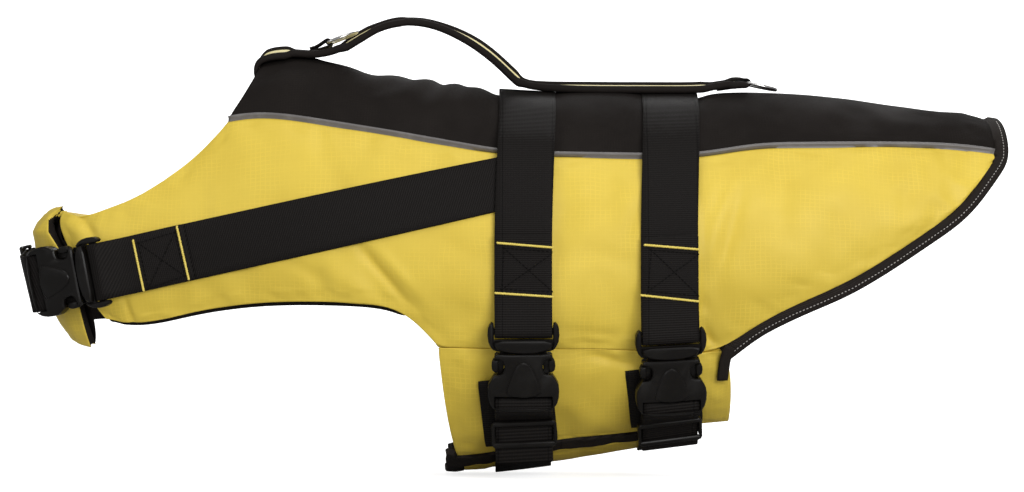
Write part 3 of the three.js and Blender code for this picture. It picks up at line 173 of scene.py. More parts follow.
groove = w.math("SUBTRACT", 1.0, w.smooth(w.math("ABSOLUTE", w.math("SUBTRACT", fromEdge, 2.3)), 0.1, 0.8))
ribHeight = w.math("MULTIPLY_ADD", rib, 0.35, w.math("MULTIPLY", cord, 0.10))
w.put(result.inputs["Height"], w.math("SUBTRACT", w.math("ADD", ribHeight, w.math("MULTIPLY", rough, 0.25)),
                                      w.math("MULTIPLY", groove, 0.6)))
# Rib feeds only the painted highlight on the rib crests in webbingMaterial.
w.put(result.inputs["Rib"], w.math("MULTIPLY_ADD", rib, 0.5, 0.5))
# Edge feeds only the painted shade in the edge groove in webbingMaterial.
w.put(result.inputs["Edge"], groove)

# Wear: a soft uneven mask on object places, for rubbed and dusty spots.
wornSpots, w, given, result = shaderGroup("wornSpots", [
    ("Scale", "NodeSocketFloat", 30.0), ("Low", "NodeSocketFloat", 0.45), ("High", "NodeSocketFloat", 0.75),
], [("Mask", "NodeSocketFloat"), ("Grain", "NodeSocketFloat")])
place = w.add("ShaderNodeTexCoord").outputs["Object"]
cloud = w.add("ShaderNodeTexNoise", {"Vector": place, "Scale": given.outputs["Scale"], "Detail": 6.0,
                                     "Roughness": 0.62})
grain = w.add("ShaderNodeTexNoise", {"Vector": place, "Scale": 900.0, "Detail": 3.0})
w.put(result.inputs["Mask"], w.smooth(cloud, given.outputs["Low"], given.outputs["High"]))
w.put(result.inputs["Grain"], grain)


def startMaterial(name, colour, roughness, metallic=0.0, **constants):
    material = bpy.data.materials.new(name)
    material.use_nodes = True
    material.diffuse_color = (*colour, 1)
    write = Nodes(material.node_tree)
    shader = material.node_tree.nodes["Principled BSDF"]
    shader.inputs["Base Color"].default_value = (*colour, 1)
    shader.inputs["Roughness"].default_value = roughness
    shader.inputs["Metallic"].default_value = metallic
    for key, value in constants.items():
        shader.inputs[key.replace("_", " ")].default_value = value
    return material, write, shader


def addBump(write, shader, height, strength, distance):
    bump = write.add("ShaderNodeBump", {"Height": height, "Strength": strength, "Distance": distance})
    write.put(shader.inputs["Normal"], bump)


def clothPlace(write):                        # the piece's own UV map, in millimetres
    uv = write.add("ShaderNodeUVMap", uv_map="cloth")
    return write.add("ShaderNodeVectorMath", {0: uv, 1: (100.0, 100.0, 100.0)}, operation="MULTIPLY")


def ripstopMaterial(name, light, deep, roughness, gridTint, strength, pitch=3.3, **constants):
    material, write, shader = startMaterial(name, light, roughness, **constants)
    weave = write.add("ShaderNodeGroup", node_tree=ripstop)
    write.put(weave.inputs["Place"], clothPlace(write))
    weave.inputs["Grid pitch"].default_value = pitch
    base = write.add("ShaderNodeMix", {"Factor": write.smooth(weave.outputs["Patches"], 0.3, 0.7),
                                       "A": (*light, 1), "B": (*deep, 1)}, data_type="RGBA")
    thread = tuple(min(1.0, c * gridTint) for c in light)
    spots = write.add("ShaderNodeMix", {"Factor": write.math("MULTIPLY", weave.outputs["Grid"], 0.4),
                                        "A": base.outputs["Result"], "B": (*thread, 1)}, data_type="RGBA")
    write.put(shader.inputs["Base Color"], spots.outputs["Result"])
    write.put(shader.inputs["Roughness"], write.smooth(weave.outputs["Patches"], 0.2, 0.8, roughness - 0.07,
                                                       roughness + 0.08))
    addBump(write, shader, weave.outputs["Height"], strength, 0.0004)
    return material


def webbingMaterial(name, colour, pitch, half, roughness=0.62):
    material, write, shader = startMaterial(name, colour, roughness, Specular_IOR_Level=0.11)
    web = write.add("ShaderNodeGroup", node_tree=ribbed)
    write.put(web.inputs["Place"], clothPlace(write))
    web.inputs["Rib pitch"].default_value = pitch
    web.inputs["Half width"].default_value = half
    # Painted highlight: the rib crests get a lighter colour, as if light caught them.
    ribHighlight = tuple(c * 1.9 + 0.002 for c in colour)
    tint = write.add("ShaderNodeMix", {"Factor": web.outputs["Rib"], "A": (*colour, 1), "B": (*ribHighlight, 1)},
                     data_type="RGBA")
    # Painted shade: the groove by each edge is darkened in the colour, as shade in a recess.
    grooveShade = write.add("ShaderNodeMix", {"Factor": write.math("MULTIPLY", web.outputs["Edge"], 0.6),
                                       "A": tint.outputs["Result"], "B": (*[c * 0.4 for c in colour], 1)},
                     data_type="RGBA")
    write.put(shader.inputs["Base Color"], grooveShade.outputs["Result"])
    addBump(write, shader, web.outputs["Height"], 0.55, 0.0006)
    return material


def smoothMaterial(name, colour, worn, roughness, spotScale, grainStrength, metallic=0.0, **constants):
    material, write, shader = startMaterial(name, colour, roughness, metallic, **constants)
    wear = write.add("ShaderNodeGroup", {"Scale": spotScale}, node_tree=wornSpots)
    tint = write.add("ShaderNodeMix", {"Factor": write.math("MULTIPLY", wear.outputs["Mask"], 0.6),
                                       "A": (*colour, 1), "B": (*worn, 1)}, data_type="RGBA")
    write.put(shader.inputs["Base Color"], tint.outputs["Result"])
    write.put(shader.inputs["Roughness"], write.math("MULTIPLY_ADD", wear.outputs["Mask"], 0.14, roughness - 0.05))
    addBump(write, shader, wear.outputs["Grain"], grainStrength, 0.0003)
    return material


materials = {
    "yellow_cloth": ripstopMaterial("yellowRipstop", finish["yellow"], finish["yellowDeep"], 0.54, 1.16, 0.15,
                                    pitch=3.4, Specular_IOR_Level=0.4),
    "pale_yellow_cloth": ripstopMaterial("paleYellowCloth", finish["paleYellow"], finish["paleYellow"], 0.6, 1.05,
                                         0.25, pitch=1.6),
    "black_cloth": ripstopMaterial("blackCloth", finish["blackCloth"], tuple(c * 0.75 for c in finish["blackCloth"]),
                                   0.78, 1.7, 0.35, pitch=1.9, Specular_IOR_Level=0.12),
    "grey_piping": smoothMaterial("greyPiping", finish["piping"], (0.21, 0.20, 0.19), 0.42, 90.0, 0.12,
                                  Sheen_Weight=0.1),
    "webbing": webbingMaterial("webbing", finish["webbing"], 1.55, 19.5),
    "narrow_webbing": webbingMaterial("narrowWebbing", finish["webbing"], 1.3, 10.5),
    "binding": webbingMaterial("bindingTape", finish["blackCloth"], 0.9, 30.0, 0.7),
    "buckle_plastic": smoothMaterial("bucklePlastic", finish["plastic"], (0.013, 0.012, 0.011), 0.38, 55.0, 0.10,
                                     Specular_IOR_Level=0.2),
    "ring_steel": smoothMaterial("ringSteel", finish["steel"], (0.45, 0.44, 0.43), 0.26, 220.0, 0.04, 1.0),
    "yellowThread": smoothMaterial("yellowThread", finish["yellowThread"], finish["yellowDeep"], 0.6, 400.0, 0.3),
    "blackThread": smoothMaterial("blackThread", finish["blackThread"], (0.005, 0.0045, 0.004), 0.7, 400.0, 0.3,
                                  Specular_IOR_Level=0.1),
    "greyThread": smoothMaterial("greyThread", finish["greyThread"], (0.55, 0.53, 0.50), 0.55, 400.0, 0.3),
}
print("materials:", len(materials))


# ---- meshes from the frame's solids

def coordinates(mesh):
    values = np.empty(len(mesh.vertices) * 3)
    mesh.vertices.foreach_get("co", values)
    return values.reshape(-1, 3)


def normals(mesh):
    values = np.empty(len(mesh.vertices) * 3)
    mesh.vertices.foreach_get("normal", values)
    return values.reshape(-1, 3)


def setCoordinates(mesh, values):
    mesh.vertices.foreach_set("co", np.ascontiguousarray(values).ravel())
    mesh.update()


chestX = -0.290
axisZ = -0.109


def outwardness(place, direction):            # above zero where a direction points away from the wearer
    away = Vector((min(place[0] - chestX, 0), place[1], place[2] - axisZ))
    return away.normalized().dot(direction)


def readCloth(node, creaseAngle=42):          # a merged quad copy of a solid, with its sewn edges marked
    work = bmesh.new()
    work.from_mesh(nodes[node].data)
    bmesh.ops.remove_doubles(work, verts=work.verts, dist=2e-5)
    bmesh.ops.join_triangles(work, faces=work.faces, angle_face_threshold=math.radians(38),
                             angle_shape_threshold=math.radians(70))
    outer = work.verts.layers.float.new("outerRim")
    inner = work.verts.layers.float.new("innerRim")
    corner = work.verts.layers.float.new("corner")
    rims = {}
    for edge in work.edges:
        if len(edge.link_faces) != 2 or edge.calc_face_angle(0) < math.radians(creaseAngle):
            continue
        middle = (edge.verts[0].co + edge.verts[1].co) / 2
        facing = [outwardness(middle, face.normal) for face in edge.link_faces]
        layer = outer if max(facing) > 0.75 else inner if min(facing) < -0.75 else None
        if layer:
            for vert in edge.verts:
                vert[layer] = 1.0
                rims.setdefault(vert, []).append((edge.other_vert(vert).co - vert.co).normalized())
    for vert, ways in rims.items():
        if len(ways) == 2 and ways[0].dot(ways[1]) > -0.75:
            vert[corner] = 1.0
    mesh = bpy.data.meshes.new(node)
    work.to_mesh(mesh)
    work.free()
    return mesh


def attribute(mesh, name):
    values = np.zeros(len(mesh.vertices))
    if name in mesh.attributes:
        mesh.attributes[name].data.foreach_get("value", values)
    return values


def creaseRims(mesh, value):
    ends = np.empty(len(mesh.edges) * 2, int)
    mesh.edges.foreach_get("vertices", ends)
    ends = ends.reshape(-1, 2)
    crease = np.zeros(len(mesh.edges))
    for name in ("outerRim", "innerRim"):
        rim = attribute(mesh, name)
        crease[(rim[ends] > 0.97).all(axis=1)] = value
    layer = mesh.attributes.get("crease_edge") or mesh.attributes.new("crease_edge", "FLOAT", "EDGE")
    layer.data.foreach_set("value", crease)
    layer = mesh.attributes.get("crease_vert") or mesh.attributes.new("crease_vert", "FLOAT", "POINT")
    layer.data.foreach_set("value", np.where(attribute(mesh, "corner") > 0.97, 1.0, 0.0))


def shown(name, mesh, slotName):
    obj = bpy.data.objects.new(name, mesh)
    scene.collection.objects.link(obj)
    mesh.materials.clear()
    mesh.materials.append(materials[slotName])
    return obj


def baked(obj):                               # the object's evaluated shape as its plain mesh
    depsgraph = bpy.context.evaluated_depsgraph_get()
    depsgraph.update()
    mesh = bpy.data.meshes.new_from_object(obj.evaluated_get(depsgraph), preserve_all_data_layers=True,
                                           depsgraph=depsgraph)
    obj.modifiers.clear()
    obj.data = mesh
    return obj


def subdivide(obj, levels, crease=None):
    if crease is not None:
        creaseRims(obj.data, crease)
    modifier = obj.modifiers.new("fine", "SUBSURF")
    modifier.levels = modifier.render_levels = levels
    baked(obj)
    obj.data.polygons.foreach_set("use_smooth", [True] * len(obj.data.polygons))
    return obj


def layCloth(mesh, around, hand=-1, radius=0.118, across=None):
    # UV places on the figure, 1 for every 100 mm: along the body and round it.
    places = coordinates(mesh)
    x, y, z = places.T
    beyond = np.minimum(x - chestX, 0)
    turn = np.arctan2(np.hypot(y, beyond), z - axisZ)
    along = np.where(x < chestX, chestX - 0.095 * np.arctan2(-beyond, hand * y), x)
    up = {"side": -turn, "top": np.sign(y) * turn, "bottom": np.sign(y) * (math.pi - turn)}[around] * radius
    pair = np.stack([along, up], 1) if across is None else across(along, up, places)
    loops = np.empty(len(mesh.loops), int)
    mesh.loops.foreach_get("vertex_index", loops)
    layer = mesh.uv_layers.new(name="cloth")
    layer.data.foreach_set("uv", (pair[loops] * 10).ravel())


# ---- padded panels

panels = {
    "side_panel_near": {"slot": "yellow_cloth", "around": "side", "hand": -1, "fill": 0.62},
    "side_panel_far": {"slot": "yellow_cloth", "around": "side", "hand": 1, "fill": 0.62},
    "back_panel": {"slot": "black_cloth", "around": "top", "hand": -1, "fill": 0.6},
    "flap_near": {"slot": "yellow_cloth", "around": "side", "hand": -1, "fill": 0.55},
    "flap_far": {"slot": "yellow_cloth", "around": "side", "hand": 1, "fill": 0.55},
    "belly_panel": {"slot": "yellow_cloth", "around": "bottom", "hand": -1, "fill": 0.45},
}
filling = {"pressure": 4.0, "spare": 0.02, "cap": 0.0016, "frames": 20, "stiffness": 12.0}
made = {}

for name, values in panels.items():
    mesh = readCloth(name)
    made[name] = subdivide(shown(name + "_padded", mesh, values["slot"]), 1, 1.0)


def holdWeights(obj):                         # seams and the wearer's side stay, the show side is free
    mesh = obj.data
    rim = np.maximum(attribute(mesh, "outerRim"), attribute(mesh, "innerRim"))
    facing = np.array([outwardness(p, Vector(n)) for p, n in zip(coordinates(mesh), normals(mesh))])
    return np.where(facing < 0.25, 1.0, rim)


def fillPanels():
    for obj in made.values():
        group = obj.vertex_groups.new(name="held")
        for index, weight in enumerate(holdWeights(obj)):
            group.add([index], float(weight), "REPLACE")
        cloth = obj.modifiers.new("fill", "CLOTH").settings
        cloth.quality = 4
        cloth.mass = 0.25
        cloth.tension_stiffness = cloth.compression_stiffness = filling["stiffness"]
        cloth.shear_stiffness = filling["stiffness"] / 2
        cloth.bending_stiffness = 0.4
        cloth.use_pressure = True
        cloth.uniform_pressure_force = filling["pressure"]
        cloth.shrink_min = -filling["spare"]
        cloth.vertex_group_mass = "held"
        cloth.effector_weights.gravity = 0
    for number in range(1, filling["frames"] + 1):
        scene.frame_set(number)
    depsgraph = bpy.context.evaluated_depsgraph_get()
    for name, obj in made.items():
        before = coordinates(obj.data)
        after = coordinates(obj.evaluated_get(depsgraph).data)
        move = after - before
        size = np.linalg.norm(move, axis=1, keepdims=True)
        capped = move * (filling["cap"] * np.tanh(size / filling["cap"]) / np.maximum(size, 1e-9))
        obj.modifiers.clear()
        obj.vertex_groups.clear()
        setCoordinates(obj.data, before + capped)
        print("filled", name, "most", round(float(size.max()) * 1000, 2), "mm")
    scene.frame_set(1)


fillPanels()

# Creases: picture points of both ends, half width and depth in mm. Below zero stands proud.
creases = [
    {"from": (354, 240), "to": (408, 304), "wide": 3.6, "deep": 3.0},
    {"from": (368, 238), "to": (424, 300), "wide": 5, "deep": -1.5},
    {"from": (318, 262), "to": (366, 300), "wide": 9, "deep": -1.2},
    {"from": (276, 252), "to": (322, 280), "wide": 5, "deep": 1.3},
    {"from": (210, 262), "to": (262, 272), "wide": 5, "deep": 0.8},
    {"from": (430, 236), "to": (492, 262), "wide": 7, "deep": 0.9},
    {"from": (436, 300), "to": (490, 318), "wide": 7, "deep": 0.8},
    {"from": (703, 204), "to": (706, 330), "wide": 4.5, "deep": 2.0},
    {"from": (716, 240), "to": (712, 336), "wide": 5, "deep": 1.2},
    {"from": (733, 165), "to": (712, 215), "wide": 4.5, "deep": 1.6},
    {"from": (742, 190), "to": (716, 292), "wide": 5, "deep": 2.3},
    {"from": (728, 186), "to": (706, 262), "wide": 5, "deep": -1.4},
    {"from": (618, 172), "to": (566, 214), "wide": 4.5, "deep": 0.7},
    {"from": (642, 196), "to": (626, 240), "wide": 5, "deep": 1.5},
    {"from": (637, 290), "to": (634, 338), "wide": 5, "deep": 2.4},
    {"from": (600, 250), "to": (570, 262), "wide": 5, "deep": 0.6},
    {"from": (590, 252), "to": (636, 262), "wide": 6, "deep": 0.8},
    {"from": (586, 355), "to": (640, 367), "wide": 4, "deep": 2.2},
    {"from": (566, 341), "to": (610, 345), "wide": 3, "deep": 0.8},
    {"from": (700, 336), "to": (722, 346), "wide": 3.5, "deep": 1.9},
    {"from": (706, 298), "to": (701, 314), "wide": 4, "deep": 2.3},
    {"from": (702, 322), "to": (714, 348), "wide": 3, "deep": 2.4},
    {"from": (708, 352), "to": (722, 362), "wide": 4, "deep": 1.5},
    {"from": (704, 372), "to": (724, 392), "wide": 5, "deep": 1.0},
    {"from": (122, 297), "to": (132, 328), "wide": 2.5, "deep": 1.9},
    {"from": (76, 214), "to": (94, 241), "wide": 4, "deep": 2.2},
    {"from": (66, 214), "to": (80, 236), "wide": 5, "deep": -0.8},
    {"from": (560, 330), "to": (628, 336), "wide": 4, "deep": 0.9},
    {"from": (450, 388), "to": (462, 440), "wide": 6, "deep": 0.8},
    {"from": (740, 200), "to": (800, 240), "wide": 10, "deep": 0.8},
    {"from": (860, 180), "to": (930, 200), "wide": 9, "deep": 0.6},
    {"from": (230, 150), "to": (320, 170), "wide": 9, "deep": 0.6},
]


def creaseDepth(places, hand):
    near = places[:, 1] * -hand < 0
    flat = places[:, [0, 2]] * 1000
    depth = np.zeros(len(places))
    shiftRng = random.Random(7)
    for crease in creases:
        a = np.array(fromPicture(*crease["from"])) * 1000
        b = np.array(fromPicture(*crease["to"])) * 1000
        deep = crease["deep"]
        if hand > 0:                          # the hidden side has like folds in other places
            a, b = a + shiftRng.uniform(-14, 14), b + shiftRng.uniform(-14, 14)
            deep *= shiftRng.uniform(0.6, 1.1)
        line = b - a
        share = np.clip(((flat - a) @ line) / (line @ line), 0, 1)
        bow = np.sin(share * math.pi) * np.linalg.norm(line) * 0.06
        aside = np.linalg.norm(flat - a - share[:, None] * line, axis=1) + bow * 0.3
        fade = np.sin(np.clip(share * 0.9 + 0.05, 0, 1) * math.pi) ** 0.6
        depth += deep * np.exp(-(aside / crease["wide"]) ** 2) * fade
    return depth * near


def seamPuckers(places, rim, seed):           # small gathers square to the seams, where the thread pulls
    out = np.zeros(len(places))
    for index in np.nonzero(rim > 0.02)[0]:
        p = Vector(places[index]) * 70
        out[index] = noise.noise(p + Vector((seed, 0, 0))) + 0.5 * noise.noise(p * 2.3)
    return out * np.sqrt(rim) * (1 - rim) * 4


gathers = {"from": -0.178, "to": -0.058, "deep": 0.9, "pitch": 0.0235, "reach": 0.052}


def backGathers(places):                      # soft waves across the spine, ahead of the front girth strap
    x, y, _ = places.T
    middle = (gathers["from"] + gathers["to"]) / 2
    window = np.clip(1 - ((x - middle) / (gathers["to"] - gathers["from"]) * 2) ** 2, 0, 1)
    slant = x + np.abs(y) * 0.35 + 0.006 * np.sin(x * 61)
    wave = np.sin(slant * 2 * math.pi / gathers["pitch"]) + 0.5 * np.sin(slant * 2 * math.pi / 0.0371 + 1)
    return gathers["deep"] * wave * window * np.exp(-(y / gathers["reach"]) ** 2)


handleRests = [                               # where the handle lies on the back: place in metres, rise in mm
    {"x": -0.2195, "reach": 0.0215, "high": 2.0},
    {"x": -0.0283, "reach": 0.0048, "high": 1.2},
    {"x": 0.0245, "reach": 0.004, "high": 1.2},
]


def restRise(places):
    x, y, _ = places.T
    along = [rest["high"] * np.exp(-((x - rest["x"]) / rest["reach"]) ** 4) for rest in handleRests]
    return sum(along) * np.exp(-(y / 0.012) ** 2)


for index, (name, values) in enumerate(panels.items()):
    obj = subdivide(made[name], 2, 0.5)
    mesh = obj.data
    places, out = coordinates(mesh), normals(mesh)
    away = np.stack([np.minimum(places[:, 0] - chestX, 0), places[:, 1], places[:, 2] - axisZ], 1)
    away /= np.linalg.norm(away, axis=1, keepdims=True)
    show = np.clip((away * out).sum(1) * 2.5 - 0.6, 0, 1)
    depth = seamPuckers(places, attribute(mesh, "outerRim"), index * 5) * 0.55
    if values["around"] == "side":
        depth += creaseDepth(places, values["hand"])
    broad = np.array([noise.noise(Vector(p) * 16 + Vector((index * 3.1, 0, 0))) for p in places])
    fine = np.array([noise.noise(Vector(p) * 45) for p in places])
    depth += broad * 0.9 + fine * 0.22
    if name == "back_panel":
        depth += backGathers(places) - restRise(places)
    setCoordinates(mesh, places - out * (depth * show)[:, None] / 1000)
    layCloth(mesh, values["around"], values["hand"])
    if name == "side_panel_far":              # its end, which reaches round to the near side, is faced with black cloth
        mesh.materials.append(materials["black_cloth"])
        for face in mesh.polygons:
            face.material_index = int(face.center.y < 0.012 and face.normal.x > 0.2)
    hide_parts(name)
    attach(obj, "jacket")
print("padded panels done")

# ---- other cloth: linings, elastic, bindings, piping, webbing, handle

softPieces = {
    "lining_near": {"slot": "black_cloth", "levels": 2, "hand": -1, "held": "laid", "on": ["side_panel_near"]},
    "lining_far": {"slot": "black_cloth", "levels": 2, "hand": 1, "held": "laid", "on": ["side_panel_far"]},
    "neck_elastic": {"slot": "black_cloth", "levels": 3, "hand": 1, "wrinkle": 0.0022, "pitch": 110, "held": "gathered",
                     "on": ["side_panel_far", "side_panel_near"]},
    "piping_near": {"slot": "grey_piping", "levels": 2, "reach": 0.0024, "sewnTo": ["side_panel_near", "back_panel"]},
    "piping_far": {"slot": "grey_piping", "levels": 2, "reach": 0.0024, "sewnTo": ["side_panel_far", "back_panel"]},
    "tail_binding": {"slot": "black_cloth", "finish": "binding", "levels": 2, "around": "top", "crease": 0.5,
                     "cut": 0.0128, "held": "folded", "on": ["side_panel_near", "side_panel_far", "back_panel"],
                     "reach": 0.0028, "sewnTo": ["side_panel_near", "side_panel_far", "back_panel", "piping_near",
                                                 "piping_far"]},
    "binding_tail_near": {"slot": "black_cloth", "finish": "binding", "levels": 2, "crease": 0.6, "cut": 0.01,
                          "held": "folded", "on": ["flap_near"]},
    "binding_tail_far": {"slot": "black_cloth", "finish": "binding", "levels": 2, "crease": 0.6, "cut": 0.01,
                         "held": "folded", "on": ["flap_far"]},
    "belly_binding": {"slot": "black_cloth", "finish": "binding", "levels": 3, "around": "bottom", "crease": 0.5,
                      "wrinkle": 0.0016, "pitch": 95, "cut": 0.0175, "held": "folded",
                      "on": ["belly_panel", "flap_near", "flap_far"], "sewnTo": ["flap_near", "flap_far"]},
    "tape_front": {"slot": "webbing", "levels": 1, "crease": 0.8, "held": "laid", "on": ["flap_near"]},
    "tape_rear": {"slot": "webbing", "levels": 1, "crease": 0.8, "held": "laid", "on": ["flap_near"]},
    "handle_band": {"slot": "pale_yellow_cloth", "levels": 2, "crease": 0.5, "cut": 0.0326, "held": "stretched",
                    "on": ["back_panel"]},
    "handle_piping_near": {"slot": "black_cloth", "levels": 2},
    "handle_piping_far": {"slot": "black_cloth", "levels": 2},
    "ring_loop_front": {"slot": "webbing", "finish": "narrow_webbing", "levels": 2, "crease": 0.7, "cut": 0.0224,
                        "held": "folded", "on": ["handle_band"]},
    "ring_loop_rear": {"slot": "webbing", "finish": "narrow_webbing", "levels": 2, "crease": 0.7, "cut": 0.0224,
                        "held": "folded", "on": ["handle_band"]},
}


# The handle lies tilted, so its top shows from the near side: degrees at places along it, in metres
handleTilt = {
    "x": (-0.2424, -0.2341, -0.2190, -0.2140, -0.1830, -0.1760, -0.1630, -0.1560, -0.1400, -0.1350, -0.1120,
          -0.0840, -0.0580, -0.0540, -0.0480, -0.0133, 0.0720, 0.0780, 0.0880, 0.0930, 0.1035),
    "degrees": (3.0, 9.4, 9.0, 3.0, 3.0, 9.6, 8.6, 6.4, 6.0, 4.2, 5.0,
                8.8, 9.6, 4.2, 4.4, 6.6, 6.4, 3.4, 3.2, 7.0, 6.6),
}
surfaces = {}


def surfaceOf(name):
    if name not in surfaces:
        mesh = made[name].data
        surfaces[name] = BVHTree.FromPolygons([v.co for v in mesh.vertices], [p.vertices for p in mesh.polygons])
    return surfaces[name]


def sewnTo(obj, neighbours, reach, push=0.0004):
    # Draws what lies close beside a neighbour onto it, as the thread does, so that no light shows through the seam.
    for vert in obj.data.vertices:
        for name in neighbours:
            near, _, _, distance = surfaceOf(name).find_nearest(vert.co, reach)
            if near is not None and distance > 1e-6:
                vert.co = near + (near - vert.co) * (push / distance)
    obj.data.update()


def sharpen(mesh, value, angle=50):
    work = bmesh.new()
    work.from_mesh(mesh)
    layer = work.edges.layers.float.get("crease_edge") or work.edges.layers.float.new("crease_edge")
    for edge in work.edges:
        if edge.calc_face_angle(0) > math.radians(angle):
            edge[layer] = value
    work.to_mesh(mesh)
    work.free()


def copySolid(node, suffix, slotName, levels, crease=0.0):
    mesh = readCloth(node)
    sharpen(mesh, crease)
    obj = subdivide(shown(node + suffix, mesh, slotName), levels)
    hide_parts(node)
    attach(obj, "jacket")
    return obj


def declareSheet(obj, cut=None):    # returns at once when a cut is given, else reads the cloth UV map into an array that is not kept
    if cut:
        return
    loops = np.empty(len(obj.data.loops) * 2)
    obj.data.uv_layers["cloth"].data.foreach_get("uv", loops)


for name, values in softPieces.items():
    obj = copySolid(name, "_cloth", values.get("finish", values["slot"]), values["levels"], values.get("crease", 0.0))
    across = None
    if name.startswith(("handle", "ring_loop")):
        across = lambda along, up, p: np.stack([p[:, 1], p[:, 0] + p[:, 2] * 0.7], 1)
    layCloth(obj.data, values.get("around", "side"), values.get("hand", -1), across=across)
    if name.startswith("handle"):
        places = coordinates(obj.data)
        tilt = np.interp(places[:, 0], handleTilt["x"], handleTilt["degrees"])
        places[:, 2] += places[:, 1] * np.tan(np.radians(tilt))
        setCoordinates(obj.data, places)
    if name == "handle_band":                 # its underside is lined with black cloth
        obj.data.materials.append(materials["black_cloth"])
        for face in obj.data.polygons:
            face.material_index = int(face.normal.z < -0.3)
    if "wrinkle" in values:                   # gathered cloth: small uneven waves
        places, out = coordinates(obj.data), normals(obj.data)
        waves = np.array([noise.noise(Vector(p) * values["pitch"]) for p in places])
        setCoordinates(obj.data, places + out * waves[:, None] * values["wrinkle"])
    if "sewnTo" in values:
        sewnTo(obj, values["sewnTo"], values.get("reach", 0.0016))
    if "held" in values:
        declareSheet(obj, values.get("cut"))
    made[name] = obj

straps = {
    "girth_strap_front": {"x": -0.051, "around": "top", "on": ["back_panel", "side_panel_near", "side_panel_far"]},
    "girth_strap_rear": {"x": 0.0478, "around": "top", "on": ["back_panel", "side_panel_near", "side_panel_far"]},
    "belly_strap_front": {"x": -0.054, "around": "bottom", "on": ["belly_panel", "flap_far", "tape_front"]},
    "belly_strap_rear": {"x": 0.0448, "around": "bottom", "on": ["belly_panel", "flap_far", "tape_rear"]},
    "chest_strap_near": {"hand": -1, "on": ["side_panel_near"]},
    "chest_strap_far": {"hand": 1, "on": ["side_panel_far"]},
}
webbingWidth = 0.039
for name, values in straps.items():
    obj = copySolid(name, "_webbing", "webbing", 2, 0.6)
    if "x" in values:
        across = lambda along, up, p, x=values["x"]: np.stack([p[:, 0] - x, up], 1)
        layCloth(obj.data, values["around"], across=across)
    else:
        layCloth(obj.data, "side", values["hand"],
                 across=lambda along, up, p: np.stack([up, along - p[:, 2] * 0.3], 1))
    declareSheet(obj, webbingWidth)
    made[name] = obj
print("webbing, bindings and handle done")

# ---- buckles, sliders and rings

hardware = {"bevel": 0.00045, "segments": 3, "angle": 28}
for name in sorted(nodes):
    if name.startswith(("buckle_", "slider_")):
        mesh = nodes[name].data.copy()
        work = bmesh.new()
        work.from_mesh(mesh)
        bmesh.ops.remove_doubles(work, verts=work.verts, dist=1e-5)
        bmesh.ops.dissolve_limit(work, angle_limit=math.radians(2), verts=work.verts, edges=work.edges)
        work.to_mesh(mesh)
        work.free()
        obj = shown(name + "_moulded", mesh, "buckle_plastic")
        bevel = obj.modifiers.new("soft edges", "BEVEL")
        bevel.width = hardware["bevel"]
        bevel.segments = hardware["segments"]
        bevel.limit_method = "ANGLE"
        bevel.angle_limit = math.radians(hardware["angle"])
        bevel.harden_normals = True
        baked(obj)
        obj.data.polygons.foreach_set("use_smooth", [True] * len(obj.data.polygons))
        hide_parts(name)
        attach(obj, "jacket")
        made[name] = obj

ringValues = {
    "wire": 0.0012, "half": 0.013, "reach": 0.0215, "corner": 0.004, "sides": 16,
    "front": {"x": -0.1904, "z": 0.0434, "tilt": 21}, "rear": {"x": 0.102, "z": 0.0154, "tilt": -12.5},
}


def makeRing(label):
    half, corner = ringValues["half"], ringValues["corner"]
    place = ringValues[label]
    outline = [(0, w * (half - corner)) for w in (-0.8, -0.4, 0, 0.4, 0.8)]
    outline += [(corner - corner * math.cos(math.radians(d)), half - corner + corner * math.sin(math.radians(d)))
                for d in range(10, 90, 15)]
    bend = ringValues["reach"] - half
    outline += [(bend + half * math.cos(math.radians(90 - d)), half * math.sin(math.radians(90 - d)))
                for d in range(0, 181, 9)]
    outline += [(corner - corner * math.cos(math.radians(d)), -(half - corner) - corner * math.sin(math.radians(d)))
                for d in range(85, 0, -15)]
    tilt = math.radians(place["tilt"])
    away, side = Vector((math.cos(tilt), 0, math.sin(tilt))), Vector((0, 1, 0))
    up = away.cross(side)
    spots = [Vector((place["x"], 0, place["z"])) + away * a + side * w for a, w in outline]
    count, sides = len(spots), ringValues["sides"]
    verts, faces = [], []
    for i, spot in enumerate(spots):
        tangent = (spots[(i + 1) % count] - spots[i - 1]).normalized()
        outDirection = tangent.cross(up).normalized()
        for j in range(sides):
            turn = 2 * math.pi * j / sides
            verts.append(spot + (outDirection * math.cos(turn) + up * math.sin(turn)) * ringValues["wire"])
            a, b = i * sides + j, i * sides + (j + 1) % sides
            c, d = ((i + 1) % count) * sides + (j + 1) % sides, ((i + 1) % count) * sides + j
            faces.append((a, b, c, d))
    mesh = bpy.data.meshes.new("ring_" + label)
    mesh.from_pydata(verts, [], faces)
    work = bmesh.new()
    work.from_mesh(mesh)
    bmesh.ops.recalc_face_normals(work, faces=work.faces)
    work.to_mesh(mesh)
    work.free()
    obj = shown("ring_" + label + "_steel", mesh, "ring_steel")
    mesh.polygons.foreach_set("use_smooth", [True] * len(mesh.polygons))
    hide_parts("ring_" + label)
    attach(obj, "ring_" + label)


makeRing("front")
makeRing("rear")
print("hardware done")

# ---- stitches

